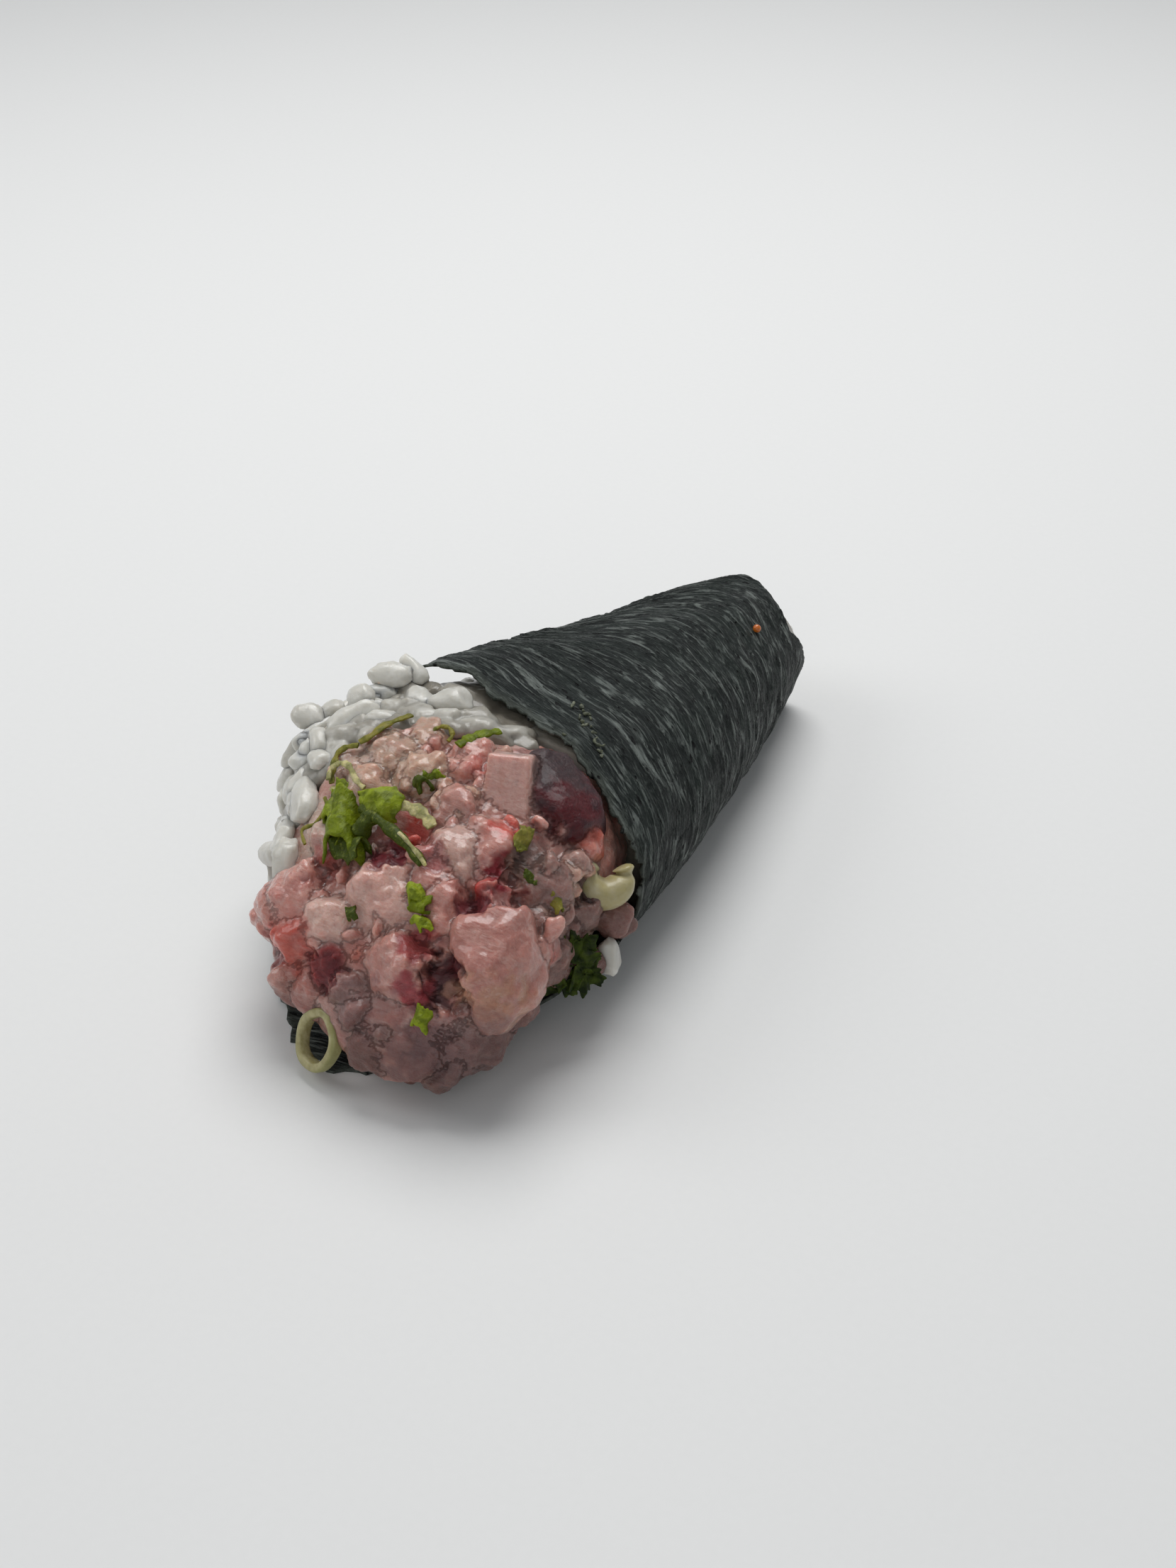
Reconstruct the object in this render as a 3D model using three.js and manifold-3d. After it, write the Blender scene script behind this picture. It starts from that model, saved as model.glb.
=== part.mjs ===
// A temaki, a hand roll of sushi, lying on its side: a sheet of nori wrapped into a cone, lined
// with rice and heaped with chopped fish and spring onion that spill out of its mouth.
// Millimetres, +Z up. The roll lies along Y: its mouth opens toward -Y, its tail points to +Y.
import * as THREE from 'three';
import { mergeVertices } from 'three/addons/utils/BufferGeometryUtils.js';
import Module from 'manifold-3d';

const wasm = await Module();
wasm.setup();

// ---- driving dimensions -------------------------------------------------------------------
const AXIS_X = 1;                // the roll's axis stands this far right of the origin
const AXIS_Y = 18.5;             // and its own zero this far back from it, along the roll
const CLEARANCE = 0.3;           // gap that pieces in contact keep

const NORI_THICKNESS = 0.9;
const TAIL_Y = 38;               // where the cone is measured from, toward its mouth
const TAIL_HALF_WIDTH = 10.2;
const TAIL_HEIGHT = 20.2;
const WIDENING = 30.3;           // what half the width gains in 100 mm, if it grew steadily,
const WIDTH_SLACKENS = 14.2;     // and how much less it grows by then
const HEIGHTENING = 24.5;
const HEIGHT_SLACKENS = 12.5;
const SQUARENESS = 2.15;         // 2 is an ellipse; a roll that lies down is a little boxier
const SINK = 0.7;                // how far the round underside is sunk below the table, then cut flat
const PRESSED = 0.5;             // what would hang this little above the table is pressed onto it too
const WRAP_START = 190;          // degrees round the cone, 0 underneath, 90 on +X, 180 on top
const WRAP_TURN = 395;           // the sheet goes once round and overlaps itself
const FLAP_LIFT = 4.2;           // how far the free corner stands off the roll

const GRAIN_LENGTH = 6.6;
const GRAIN_WIDTH = 3.3;

// ---- small helpers ------------------------------------------------------------------------
const radians = THREE.MathUtils.degToRad;
const { smoothstep, clamp, lerp } = THREE.MathUtils;

function seededRandom(seed) {
  let state = seed;
  return () => {
    state = (state + 0x6d2b79f5) | 0;
    let t = Math.imul(state ^ (state >>> 15), 1 | state);
    t = (t + Math.imul(t ^ (t >>> 7), 61 | t)) ^ t;
    return ((t ^ (t >>> 14)) >>> 0) / 4294967296;
  };
}

// Reads a value off a short table of [position, value, value, ...] rows, straight from row to row.
function readTable(rows, position, column) {
  const last = rows.length - 1;
  if (position <= rows[0][0]) return rows[0][column];
  if (position >= rows[last][0]) return rows[last][column];
  const upper = rows.findIndex((row) => row[0] > position);
  const [a, b] = [rows[upper - 1], rows[upper]];
  return lerp(a[column], b[column], (position - a[0]) / (b[0] - a[0]));
}

// A point of a boxy ellipse round (centreX, centreZ), at an angle counted from underneath.
function ringPoint(angle, centreX, centreZ, halfWidth, halfHeight, squareness) {
  const s = Math.sin(radians(angle));
  const c = -Math.cos(radians(angle));
  const bend = (value) => Math.sign(value) * Math.abs(value) ** (2 / squareness);
  return [centreX + halfWidth * bend(s), centreZ + halfHeight * bend(c)];
}

// Moves every vertex of a geometry and welds it into one closed mesh.
function mould(geometry, move) {
  const spot = new THREE.Vector3();
  const positions = geometry.attributes.position;
  for (let i = 0; i < positions.count; i += 1) {
    move(spot.fromBufferAttribute(positions, i));
    positions.setXYZ(i, spot.x, spot.y, spot.z);
  }
  geometry.deleteAttribute('normal');
  geometry.deleteAttribute('uv');
  return mergeVertices(geometry, 1e-4);
}

// A thin solid from a grid: place(u, v, side) gives the point on its lower or upper face.
function slab(columns, rows, place) {
  const vertices = [];
  const index = [];
  const at = (i, j, side) => (side * (rows + 1) + j) * (columns + 1) + i;
  for (let side = 0; side < 2; side += 1) {
    for (let j = 0; j <= rows; j += 1) {
      for (let i = 0; i <= columns; i += 1) vertices.push(...place(i / columns, j / rows, side));
    }
  }
  const quad = (a, b, c, d) => index.push(a, b, d, b, c, d);
  for (let j = 0; j < rows; j += 1) {
    for (let i = 0; i < columns; i += 1) {
      quad(at(i, j, 1), at(i + 1, j, 1), at(i + 1, j + 1, 1), at(i, j + 1, 1));
      index.push(at(i, j, 0), at(i, j + 1, 0), at(i + 1, j, 0));
      index.push(at(i + 1, j, 0), at(i, j + 1, 0), at(i + 1, j + 1, 0));
    }
  }
  for (let i = 0; i < columns; i += 1) {
    quad(at(i, 0, 0), at(i + 1, 0, 0), at(i + 1, 0, 1), at(i, 0, 1));
    quad(at(i, rows, 1), at(i + 1, rows, 1), at(i + 1, rows, 0), at(i, rows, 0));
  }
  for (let j = 0; j < rows; j += 1) {
    quad(at(columns, j, 0), at(columns, j + 1, 0), at(columns, j + 1, 1), at(columns, j, 1));
    quad(at(0, j, 1), at(0, j + 1, 1), at(0, j + 1, 0), at(0, j, 0));
  }
  const geometry = new THREE.BufferGeometry();
  geometry.setAttribute('position', new THREE.Float32BufferAttribute(vertices, 3));
  geometry.setIndex(facesPointOut(vertices, index) ? index : index.reverse());
  return geometry;
}

// The sign of the volume that the triangles enclose.
function facesPointOut(vertices, index) {
  const corner = (i) => new THREE.Vector3().fromArray(vertices, index[i] * 3);
  let volume = 0;
  for (let i = 0; i < index.length; i += 3) volume += corner(i).dot(corner(i + 1).cross(corner(i + 2)));
  return volume > 0;
}

function toSolid(geometry) {
  return new wasm.Manifold(new wasm.Mesh({
    numProp: 3,
    vertProperties: new Float32Array(geometry.attributes.position.array),
    triVerts: new Uint32Array(geometry.index.array),
  }));
}

// Keeps the one body of a cut solid that matters and drops loose scraps.
function largestBody(solid) {
  return solid.decompose().reduce((best, piece) => (piece.volume() > best.volume() ? piece : best));
}

function toGeometry(solid) {
  const mesh = solid.getMesh();
  const geometry = new THREE.BufferGeometry();
  geometry.setAttribute('position', new THREE.Float32BufferAttribute(mesh.vertProperties, 3));
  geometry.setIndex([...mesh.triVerts]);
  return geometry;
}

const fuse = (solids) => solids.reduce((whole, piece) => whole.add(piece));

// ---- the cone that the nori is wrapped round ----------------------------------------------
function coneHalfWidth(y) {
  const t = (TAIL_Y - y) / 100;
  return TAIL_HALF_WIDTH + WIDENING * t - WIDTH_SLACKENS * t * t;
}

function coneHeight(y) {
  const t = (TAIL_Y - y) / 100;
  return TAIL_HEIGHT + HEIGHTENING * t - HEIGHT_SLACKENS * t * t;
}

// A point on the cone, pushed out along its normal, with its underside pressed flat at floor.
function conePoint(angle, y, outward, floor) {
  const halfWidth = coneHalfWidth(y);
  const halfHeight = coneHeight(y) / 2;
  const [x, z] = ringPoint(angle, 0, halfHeight - SINK, halfWidth, halfHeight, SQUARENESS);
  const turn = radians(angle);
  const push = new THREE.Vector2(Math.sin(turn) / halfWidth, -Math.cos(turn) / halfHeight).setLength(outward);
  const height = z + push.y;
  return [x + push.x, y, height < floor + PRESSED ? floor : height];
}

// ---- nori ---------------------------------------------------------------------------------
// Where the sheet ends at the mouth, by degrees of wrap: a long tongue lies under the filling.
const MOUTH_EDGE = [
  [0, -6], [35, -13], [60, -27], [80, -42], [110, -54], [135, -63], [155, -70], [170, -73], [188, -67],
  [210, -52], [235, -41], [253, -38], [270, -36], [290, -36], [306, -34], [327, -31], [357, -27.5],
  [374, -25], [395, -24],
];
// Where it ends at the tail, by degrees round the cone: the rolled end is cut slightly askew.
const TAIL_EDGE = [
  [0, 37], [88, 37], [124, 31.5], [150, 34.5], [178, 39.3], [205, 39], [270, 37.5], [360, 37],
];

function noriEdges(wrap) {
  const angle = (WRAP_START + wrap) % 360;
  const ragged = 0.35 * Math.sin(wrap * 0.31) + 0.25 * Math.sin(wrap * 0.83 + 1);
  return [readTable(TAIL_EDGE, angle, 1), readTable(MOUTH_EDGE, wrap, 1) + ragged];
}

// Distance of the sheet from the cone: the start is tucked inside, the free end stands off.
function noriOffset(wrap, y) {
  const tucked = -(NORI_THICKNESS + CLEARANCE * 2) * (1 - smoothstep(wrap, 30, 80));
  const free = smoothstep(wrap, 345, WRAP_TURN) * smoothstep(-y, -12, 27);
  const ripple = 0.22 * Math.sin(wrap * 0.13 + y * 0.11) * smoothstep(wrap, 250, 300);
  return tucked + FLAP_LIFT * free + ripple;
}

const NORI_COLUMNS = 44;
const NORI_ROWS = 15;

function noriSheet(grow) {
  return slab(NORI_COLUMNS, NORI_ROWS, (u, v, side) => {
    const wrap = WRAP_TURN * u;
    const [tailY, mouthY] = noriEdges(wrap);
    const y = lerp(tailY + grow, mouthY - grow, v);
    const outward = noriOffset(wrap, y) + (side === 1 ? grow : -NORI_THICKNESS - grow);
    const floor = side === 1 ? -grow : NORI_THICKNESS + grow;
    return conePoint(WRAP_START + wrap, y, outward, floor);
  });
}

// ---- the heap of filling ------------------------------------------------------------------
// Its outline across the roll at stations along Y: centre, half width, underside, top, squareness.
const HEAP = [
  [-75, 10.5, 4, 4, 8, 2], [-74, 9.5, 7, 3, 10.5, 2], [-71, 7, 12, 1.6, 15, 2.2],
  [-67, 3, 18.5, 1.4, 20.5, 2.4], [-60, 1, 22, 1.4, 26, 2.4], [-52, -0.5, 24, 1.5, 30, 2.3],
  [-44, -2, 25, 1.5, 32, 2.3], [-36, -2.5, 24.5, 1.5, 32, 2.2], [-28, -3, 22.5, 1.5, 30, 2.2],
];

function heapPoint(y, angle, outward = 0) {
  const row = HEAP[0].map((_, column) => readTable(HEAP, y, column));
  const [, centre, halfWidth, low, high, squareness] = row;
  const [x, z] = ringPoint(
    angle, centre, (low + high) / 2, halfWidth + outward, (high - low) / 2 + outward, squareness);
  return new THREE.Vector3(x, y, z);
}

// Axes of a piece lying on the heap: along the roll, round it, and straight out of it.
function heapFrame(y, angle) {
  const step = 1.5;
  const along = heapPoint(y + step, angle).sub(heapPoint(y - step, angle)).normalize();
  const round = heapPoint(y, angle + 3).sub(heapPoint(y, angle - 3)).normalize();
  const out = new THREE.Vector3().crossVectors(along, round).normalize();
  round.crossVectors(out, along);
  return new THREE.Matrix4().makeBasis(along, round, out);
}

function layOnHeap(geometry, y, angle, outward, twist = 0) {
  const centre = heapPoint(y, angle);
  const frame = heapFrame(y, angle);
  const out = new THREE.Vector3().setFromMatrixColumn(frame, 2);
  geometry.rotateZ(radians(twist)).applyMatrix4(frame);
  geometry.translate(...centre.addScaledVector(out, outward));
  return geometry;
}

// A closed tube of rings between two stations, with flat ends: the body of a heap or a lining.
function ringBody(fromY, toY, sides, rings, place) {
  const barrel = new THREE.CylinderGeometry(1, 1, 1, sides, rings);
  return mould(barrel, (spot) => {
    const y = lerp(fromY, toY, spot.y + 0.5);
    const radius = Math.hypot(spot.x, spot.z);
    const angle = THREE.MathUtils.radToDeg(Math.atan2(spot.x, -spot.z));
    const [x, z] = radius > 0.5 ? place(y, angle) : place(y, null);
    spot.set(x, y, z);
  });
}

const HEAP_FRONT = -74.5;
const HEAP_CORE_DEPTH = 2.2;     // the bare core's top and sides lie this far under the heap's outline
const TAIL_RECESS = 3;           // the filling ends this far inside the tail
const LINING_GAP = 0.4;          // between the nori and the filling that lines it

function heapCore(fromY) {
  return toSolid(ringBody(HEAP_FRONT, fromY, 20, 8, (y, angle) => {
    if (angle === null) {
      const middle = heapPoint(y, 0).add(heapPoint(y, 180)).multiplyScalar(0.5);
      return [middle.x, middle.z];
    }
    const buried = smoothstep(-Math.cos(radians(angle)), -1, -0.4);
    const spot = heapPoint(y, angle, -HEAP_CORE_DEPTH * buried);
    return [spot.x, spot.z];
  }));
}

function rollLining(fromY, toY) {
  const inward = NORI_THICKNESS + LINING_GAP;
  return toSolid(ringBody(fromY, toY, 20, 6, (y, angle) => {
    if (angle === null) return [0, coneHeight(y) / 2];
    const tuck = NORI_THICKNESS + CLEARANCE * 2;
    const wrapStart = smoothstep(Math.cos(radians(angle - 215)), 0.1, 0.8);
    const [x, , z] = conePoint(angle, y, -inward - tuck * wrapStart, NORI_THICKNESS + CLEARANCE);
    return [x, z];
  }));
}

// The share of the filling that is fish: its outline seen from above, and how deep it goes.
const FISH_OUTLINE = [
  [1.5, 13], [5, 12], [11, -4], [34, -20], [36, -84], [-30, -88], [-23, -63], [-16.5, -57.5], [-15, -50],
  [-12.5, -44], [-8, -38.5], [0, -34.5], [6, -29.5], [5, -10],
];
const FISH_ABOVE = 5.5;          // rice lies under the fish up to this height,
const RICE_UNDER_TO = -60;       // but no further toward the mouth than this

function fishRegion(grow) {
  const corners = FISH_OUTLINE.map(([x, y]) => new THREE.Vector2(x, y));
  const sideways = (from, to) => new THREE.Vector2(from.y - to.y, to.x - from.x).normalize();
  const wider = new THREE.Shape(corners.map((corner, i) => {
    const before = sideways(corners.at(i - 1), corner);
    const after = sideways(corner, corners[(i + 1) % corners.length]);
    const mitre = grow / (1 + before.dot(after));
    return corner.clone().addScaledVector(before.add(after), mitre);
  }));
  const reach = 100;
  const block = (shape, low) => {
    const prism = new THREE.ExtrudeGeometry(shape, { depth: reach, bevelEnabled: false });
    prism.translate(0, 0, low - grow);
    return toSolid(mould(prism, () => {}));
  };
  const belowAll = -5;
  const front = new THREE.Shape([
    new THREE.Vector2(-reach, -reach), new THREE.Vector2(reach, -reach),
    new THREE.Vector2(reach, RICE_UNDER_TO + grow), new THREE.Vector2(-reach, RICE_UNDER_TO + grow),
  ]);
  return block(wider, FISH_ABOVE).add(block(front, belowAll).intersect(block(wider, belowAll)));
}

// ---- pieces of fish -----------------------------------------------------------------------
// A lump with a softly uneven skin; boxiness squares it off like a diced cube.
function lump(length, width, height, boxiness, seed) {
  const random = seededRandom(seed);
  const phase = Array.from({ length: 6 }, () => random() * Math.PI * 2);
  return mould(new THREE.IcosahedronGeometry(1, 1), (spot) => {
    const wave = Math.sin(2.3 * spot.x + phase[0]) + Math.sin(2.9 * spot.y + phase[1])
      + Math.sin(2.6 * spot.z + phase[2]) + 0.6 * Math.sin(4.1 * (spot.x + spot.y) + phase[3]);
    const swell = 1 + 0.055 * wave;
    const square = (value) => Math.sign(value) * Math.abs(value) ** (1 - boxiness);
    spot.set(square(spot.x) * length, square(spot.y) * width, square(spot.z) * height);
    spot.multiplyScalar(swell * lerp(0.5, 0.42, boxiness));
  });
}

// Chopped pieces that lie on the heap: station, angle round it, length, width, height, twist, boxiness.
const FISH = [
  [-44, 156, 8.5, 8, 8, 20, 0.5], [-38, 138, 13, 9, 7, 70, 0.35], [-40, 116, 6, 5.5, 5, 10, 0.2],
  [-55, 153, 14, 10.5, 8, 60, 0.3], [-62, 119, 17, 14, 9, 25, 0.25], [-46, 193, 9, 9, 6, 0, 0.15],
  [-47, 181, 9, 8, 6.5, 40, 0.1], [-50, 170, 8, 7, 6, 80, 0.15], [-42, 172, 8, 6, 6, 10, 0.15],
  [-52, 197, 7, 7, 5.5, 30, 0.1], [-65, 214, 10, 8.5, 7, 15, 0.15], [-69, 220, 8.5, 8.5, 7, 50, 0.15],
  [-67, 204, 8.5, 6, 6, 70, 0.2], [-63.5, 182, 12, 10, 8, 35, 0.25], [-69, 159, 14, 10, 8.5, 60, 0.2],
  [-68, 86, 11, 8, 7, 0, 0.2], [-52, 121, 11, 8, 6.5, 45, 0.3], [-46, 92, 8, 7, 6, 0, 0.2],
  [-56.5, 106, 9, 8, 6, 70, 0.2], [-51, 139, 7.5, 6, 6, 0, 0.2], [-58, 139, 8, 5.5, 6, 30, 0.2],
  [-69.5, 199, 8, 7, 5, 0, 0.1], [-61, 86, 8, 7, 6, 60, 0.2], [-59, 203, 8, 7, 6, 20, 0.15],
  [-59, 168, 8, 7, 6, 75, 0.15], [-66, 240, 8, 7, 6, 30, 0.1], [-71, 262, 8, 7, 6, 0, 0.1],
  [-53, 84, 7, 6, 5, 40, 0.1], [-64, 66, 8, 7, 5, 20, 0.1], [-47, 112, 7, 6, 5.5, 20, 0.1],
  [-70, 60, 8, 6, 5, 50, 0.1], [-65, 264, 8, 7, 6, 70, 0.1],
];
// Pieces at its steep front: middle, then length, width, height, heading and boxiness.
const FRONT_FISH = [
  [[6.3, -71.8, 4.9], 6, 5.6, 5.6, 0, 0.1], [[2.4, -70.6, 9.4], 5.8, 5.2, 5.4, 40, 0.1],
  [[15, -67.2, 7], 14, 10, 9, 15, 0.2], [[11, -70.5, 4.2], 6, 5, 5, 70, 0.1],
  [[9, -72, 9], 8, 6, 6, 60, 0.15], [[-9, -69.3, 9.4], 9, 8, 8, 30, 0.15],
];

const BEDDED = 0.22;             // share of its height that a piece is sunk into the heap

function fishHeap(region, nori, toppings) {
  const pieces = FISH.map(([y, angle, length, width, height, twist, boxiness], i) => {
    const geometry = lump(length, width, height, boxiness, 100 + i);
    return toSolid(layOnHeap(geometry, y, angle, -BEDDED * height, twist));
  });
  FRONT_FISH.forEach(([middle, length, width, height, heading, boxiness], i) => {
    const geometry = lump(length, width, height, boxiness, 200 + i).rotateZ(radians(heading));
    pieces.push(toSolid(geometry.translate(...middle)));
  });
  const strayGrain = toSolid(layOnHeap(grain(1), -44.5, 64, -0.2, 65));
  const core = heapCore(-30).add(rollLining(-31, 12));
  let heap = fuse([core, strayGrain, ...pieces]).intersect(region).subtract(nori);
  toppings.forEach((topping) => { heap = heap.subtract(topping); });
  return toGeometry(largestBody(heap));
}

// ---- rice ---------------------------------------------------------------------------------
function grain(scale) {
  const geometry = new THREE.SphereGeometry(0.5, 5, 4);
  geometry.scale(GRAIN_WIDTH * scale, GRAIN_LENGTH * scale, GRAIN_WIDTH * 0.85 * scale);
  return mould(geometry, () => {});
}

// Spreads points evenly over a unit square.
const evenly = (i) => [(0.5 + i * 0.7549) % 1, (0.5 + i * 0.5698) % 1];

// Spare rice swells out beside and under the nori's free corner: middle and reach of each swelling.
const RICE_SWELLS = [[[-17.5, -34, 23.5], [9.2, 11, 7]], [[-9, -28, 25.2], [10, 9, 5.6]]];
// Grains that stand proud of it: where each lies, its heading and its tilt in degrees.
const CROWN = [
  [-26, -41, 26.5, 120, 15], [-24, -38, 28, 150, -20], [-24.5, -34.5, 27.5, 40, 10], [-22, -31, 29, 110, 10],
  [-23, -28, 27, 60, 35], [-20.5, -26.5, 29, 20, 20], [-19, -31, 30.5, 160, 0], [-17, -35, 30.8, 90, 5],
  [-21, -36, 29.5, 30, 10], [-14, -30, 30.5, 60, -10], [-24.5, -44, 24.5, 100, 0], [-12, -34, 31, 20, 0],
  [-9, -31.5, 30.6, 75, 0], [-5.5, -33, 30.2, 20, 5], [-2, -33.5, 29.6, 110, 0], [-9, -36, 29.6, 150, -15],
  [1, -35.5, 28.8, 60, -10], [-14, -37.5, 30, 100, 5],
];

const SLOPE_GRAINS = 64;
const TAIL_GRAINS = 11;
const SUNFLOWER = 2.4;           // radians between neighbours that spread out evenly in a spiral

function riceBed(fishSpace, nori, toppings) {
  const random = seededRandom(7);
  const grains = [];
  const addGrain = (geometry) => grains.push(toSolid(geometry));
  for (let i = 0; i < SLOPE_GRAINS; i += 1) {
    const [across, along] = evenly(i);
    const y = lerp(-63, -25, along);
    const angle = lerp(170, 288, across);
    const size = lerp(0.88, 1.05, random());
    const lying = layOnHeap(grain(size), y, angle, lerp(-1.5, 0.2, random()), random() * 180);
    const underFlap = y > -30 && angle < 228;
    if (!underFlap) addGrain(lying);
  }
  CROWN.forEach(([x, y, z, heading, tilt]) => {
    addGrain(grain(1).rotateX(radians(tilt)).rotateZ(radians(heading)).translate(x, y, z));
  });
  const tailY = TAIL_Y - TAIL_RECESS;
  for (let i = 0; i < TAIL_GRAINS; i += 1) {
    const away = 7 * Math.sqrt((i + 0.5) / TAIL_GRAINS);
    const [x, z] = [away * Math.cos(i * SUNFLOWER), away * Math.sin(i * SUNFLOWER)];
    const across = grain(0.95).rotateX(random() - 0.5).rotateZ(radians(90)).rotateY(random() * 3);
    addGrain(across.translate(x, tailY - 1.3, TAIL_HEIGHT / 2 + z));
  }
  const swells = RICE_SWELLS.map(([middle, reach]) => {
    const ball = mould(new THREE.IcosahedronGeometry(1, 1), () => {});
    return toSolid(ball.scale(...reach).translate(...middle));
  });
  const core = fuse([heapCore(-28), rollLining(-30, tailY - 0.8), ...swells]);
  let bed = fuse([core, ...grains]).subtract(fishSpace).subtract(nori);
  toppings.forEach((topping) => { bed = bed.subtract(topping); });
  return toGeometry(largestBody(bed));
}

// ---- spring onion and herb ----------------------------------------------------------------
const RING_OUTER = 3.9;
const RING_WALL = 1.2;

// A slice of the green stalk, standing on edge against the front of the heap.
function scallionRing(grow) {
  const tube = RING_WALL / 2;
  const geometry = mould(new THREE.TorusGeometry(RING_OUTER - tube, tube + grow, 6, 18), () => {});
  geometry.scale(0.92, 1.12, 1.6).rotateX(radians(66)).rotateZ(radians(-16));
  geometry.translate(-0.5, -73, 5.2);
  return geometry;
}

// A slice of the white stalk, split open and curled like half a tube.
function scallionWhite(grow) {
  const radius = 3.6;
  const halfWall = 0.75 + grow;
  const halfLength = 3 + grow;
  const geometry = slab(10, 3, (u, v, side) => {
    const angle = radians(lerp(-20, 200, u));
    const away = radius + (side === 1 ? halfWall : -halfWall);
    return [lerp(-halfLength, halfLength, v), -away * Math.cos(angle), away * Math.sin(angle) - 1.5];
  });
  return layOnHeap(geometry, -42, 97, 0.8, 55);
}

// A flat strip that curls down along its length, through curl radians from end to end.
function chopped(seed, length, width, thickness, curl, grow) {
  const wave = seededRandom(seed)() * 6;
  const half = thickness / 2 + grow;
  const radius = length / curl;
  return slab(5, 1, (u, v, side) => {
    const angle = curl * (u - 0.5);
    const along = radius * Math.sin(angle) * (1 + grow / length);
    const rise = radius * (Math.cos(angle) - 1) + 0.3 * Math.sin(wave + 5 * u);
    return [along, (v - 0.5) * (width + 2 * grow), rise + (side === 1 ? half : -half)];
  });
}

// Chopped green tops in a loose clump on the crown of the heap: station, angle round it, length,
// width, height above it, twist and curl of each.
const GREENS = [
  [-57, 191, 7.5, 4.5, 2.1, 30, 0.6], [-55.5, 187, 6.5, 4, 2.8, 80, 1.1], [-58, 187, 6, 3.5, 2.6, 120, 0.9],
  [-57, 183, 5.5, 3.5, 3.1, 10, 1.3], [-59, 194, 6, 3.5, 2.5, 150, 0.8], [-55, 193, 5.5, 3, 3.1, 60, 1.2],
];

function scallionGreens(grow) {
  const pieces = GREENS.map(([y, angle, length, width, outward, twist, curl], i) => (
    toSolid(layOnHeap(chopped(i + 1, length, width, 1.2, curl, grow), y, angle, outward, twist))));
  return largestBody(fuse(pieces));
}

// A small frilled sprig that hangs at the heap's right foot.
function herbLeaf(grow) {
  const length = 9;
  const half = 0.45 + grow;
  const geometry = slab(12, 4, (u, v, side) => {
    const belly = 4.5 * Math.sin(Math.PI * Math.min(1, u * 1.05));
    const width = 3.6 + belly + 0.8 * Math.sin(u * 26);
    const wave = 0.7 * Math.sin(u * 9) * (v - 0.3) + 0.5 * Math.sin(u * 5 + v * 4);
    return [length * (u - 0.5), (v - 0.5) * (width + 2 * grow), wave + (side === 1 ? half : -half)];
  });
  return layOnHeap(geometry, -50.5, 76, 1.6, 140);
}

// Thin shreds of green over the rice and the fish: name, station, angle round the heap, length,
// width, twist, curl and height above it.
const SHREDS = [
  ['scallion_shred_back', -44.5, 202, 14, 1.4, -31, 0.8, 2.4],
  ['scallion_shred_top', -39, 172, 9.5, 1.6, -36, 0.9, 2],
  ['scallion_shred_front', -60, 173, 11, 1.4, 75, 0.5, 2.6],
];

function shred([, y, angle, length, width, twist, curl, outward], grow) {
  return layOnHeap(chopped(y * -10, length, width, 1, curl, grow), y, angle, outward, twist);
}

// ---- the roll put together ----------------------------------------------------------------
const finishes = {
  nori: new THREE.MeshStandardMaterial({ color: 0x2c3330, roughness: 0.55 }),
  rice: new THREE.MeshStandardMaterial({ color: 0xd9d8d2, roughness: 0.45 }),
  fish: new THREE.MeshStandardMaterial({ color: 0xc99b92, roughness: 0.3 }),
  stalk: new THREE.MeshStandardMaterial({ color: 0xbdb886, roughness: 0.4 }),
  green: new THREE.MeshStandardMaterial({ color: 0x6f9a2a, roughness: 0.4 }),
  herb: new THREE.MeshStandardMaterial({ color: 0x3f5420, roughness: 0.5 }),
};

const roll = new THREE.Group();
roll.position.set(AXIS_X, AXIS_Y, 0);

function addPiece(name, geometry, finish) {
  const mesh = new THREE.Mesh(geometry, finish);
  mesh.name = name;
  roll.add(mesh);
}

const fatNori = toSolid(noriSheet(CLEARANCE));
const fatToppings = [
  toSolid(scallionRing(CLEARANCE)),
  toSolid(scallionWhite(CLEARANCE)),
  scallionGreens(CLEARANCE),
  toSolid(herbLeaf(CLEARANCE)),
  ...SHREDS.map((row) => toSolid(shred(row, CLEARANCE))),
];

addPiece('nori_sheet', noriSheet(0), finishes.nori);
addPiece('sushi_rice', riceBed(fishRegion(CLEARANCE), fatNori, fatToppings), finishes.rice);
addPiece('chopped_fish', fishHeap(fishRegion(0), fatNori, fatToppings), finishes.fish);
addPiece('scallion_ring', scallionRing(0), finishes.stalk);
addPiece('scallion_white', scallionWhite(0), finishes.stalk);
addPiece('scallion_greens', toGeometry(scallionGreens(0)), finishes.green);
addPiece('herb_leaf', herbLeaf(0), finishes.herb);
SHREDS.forEach((row) => addPiece(row[0], shred(row, 0), finishes.green));

const model = new THREE.Group();
model.add(roll);
export default model;
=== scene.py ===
import math

import bmesh
import bpy
import numpy as np
from mathutils import Matrix, Vector, kdtree, noise


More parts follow.
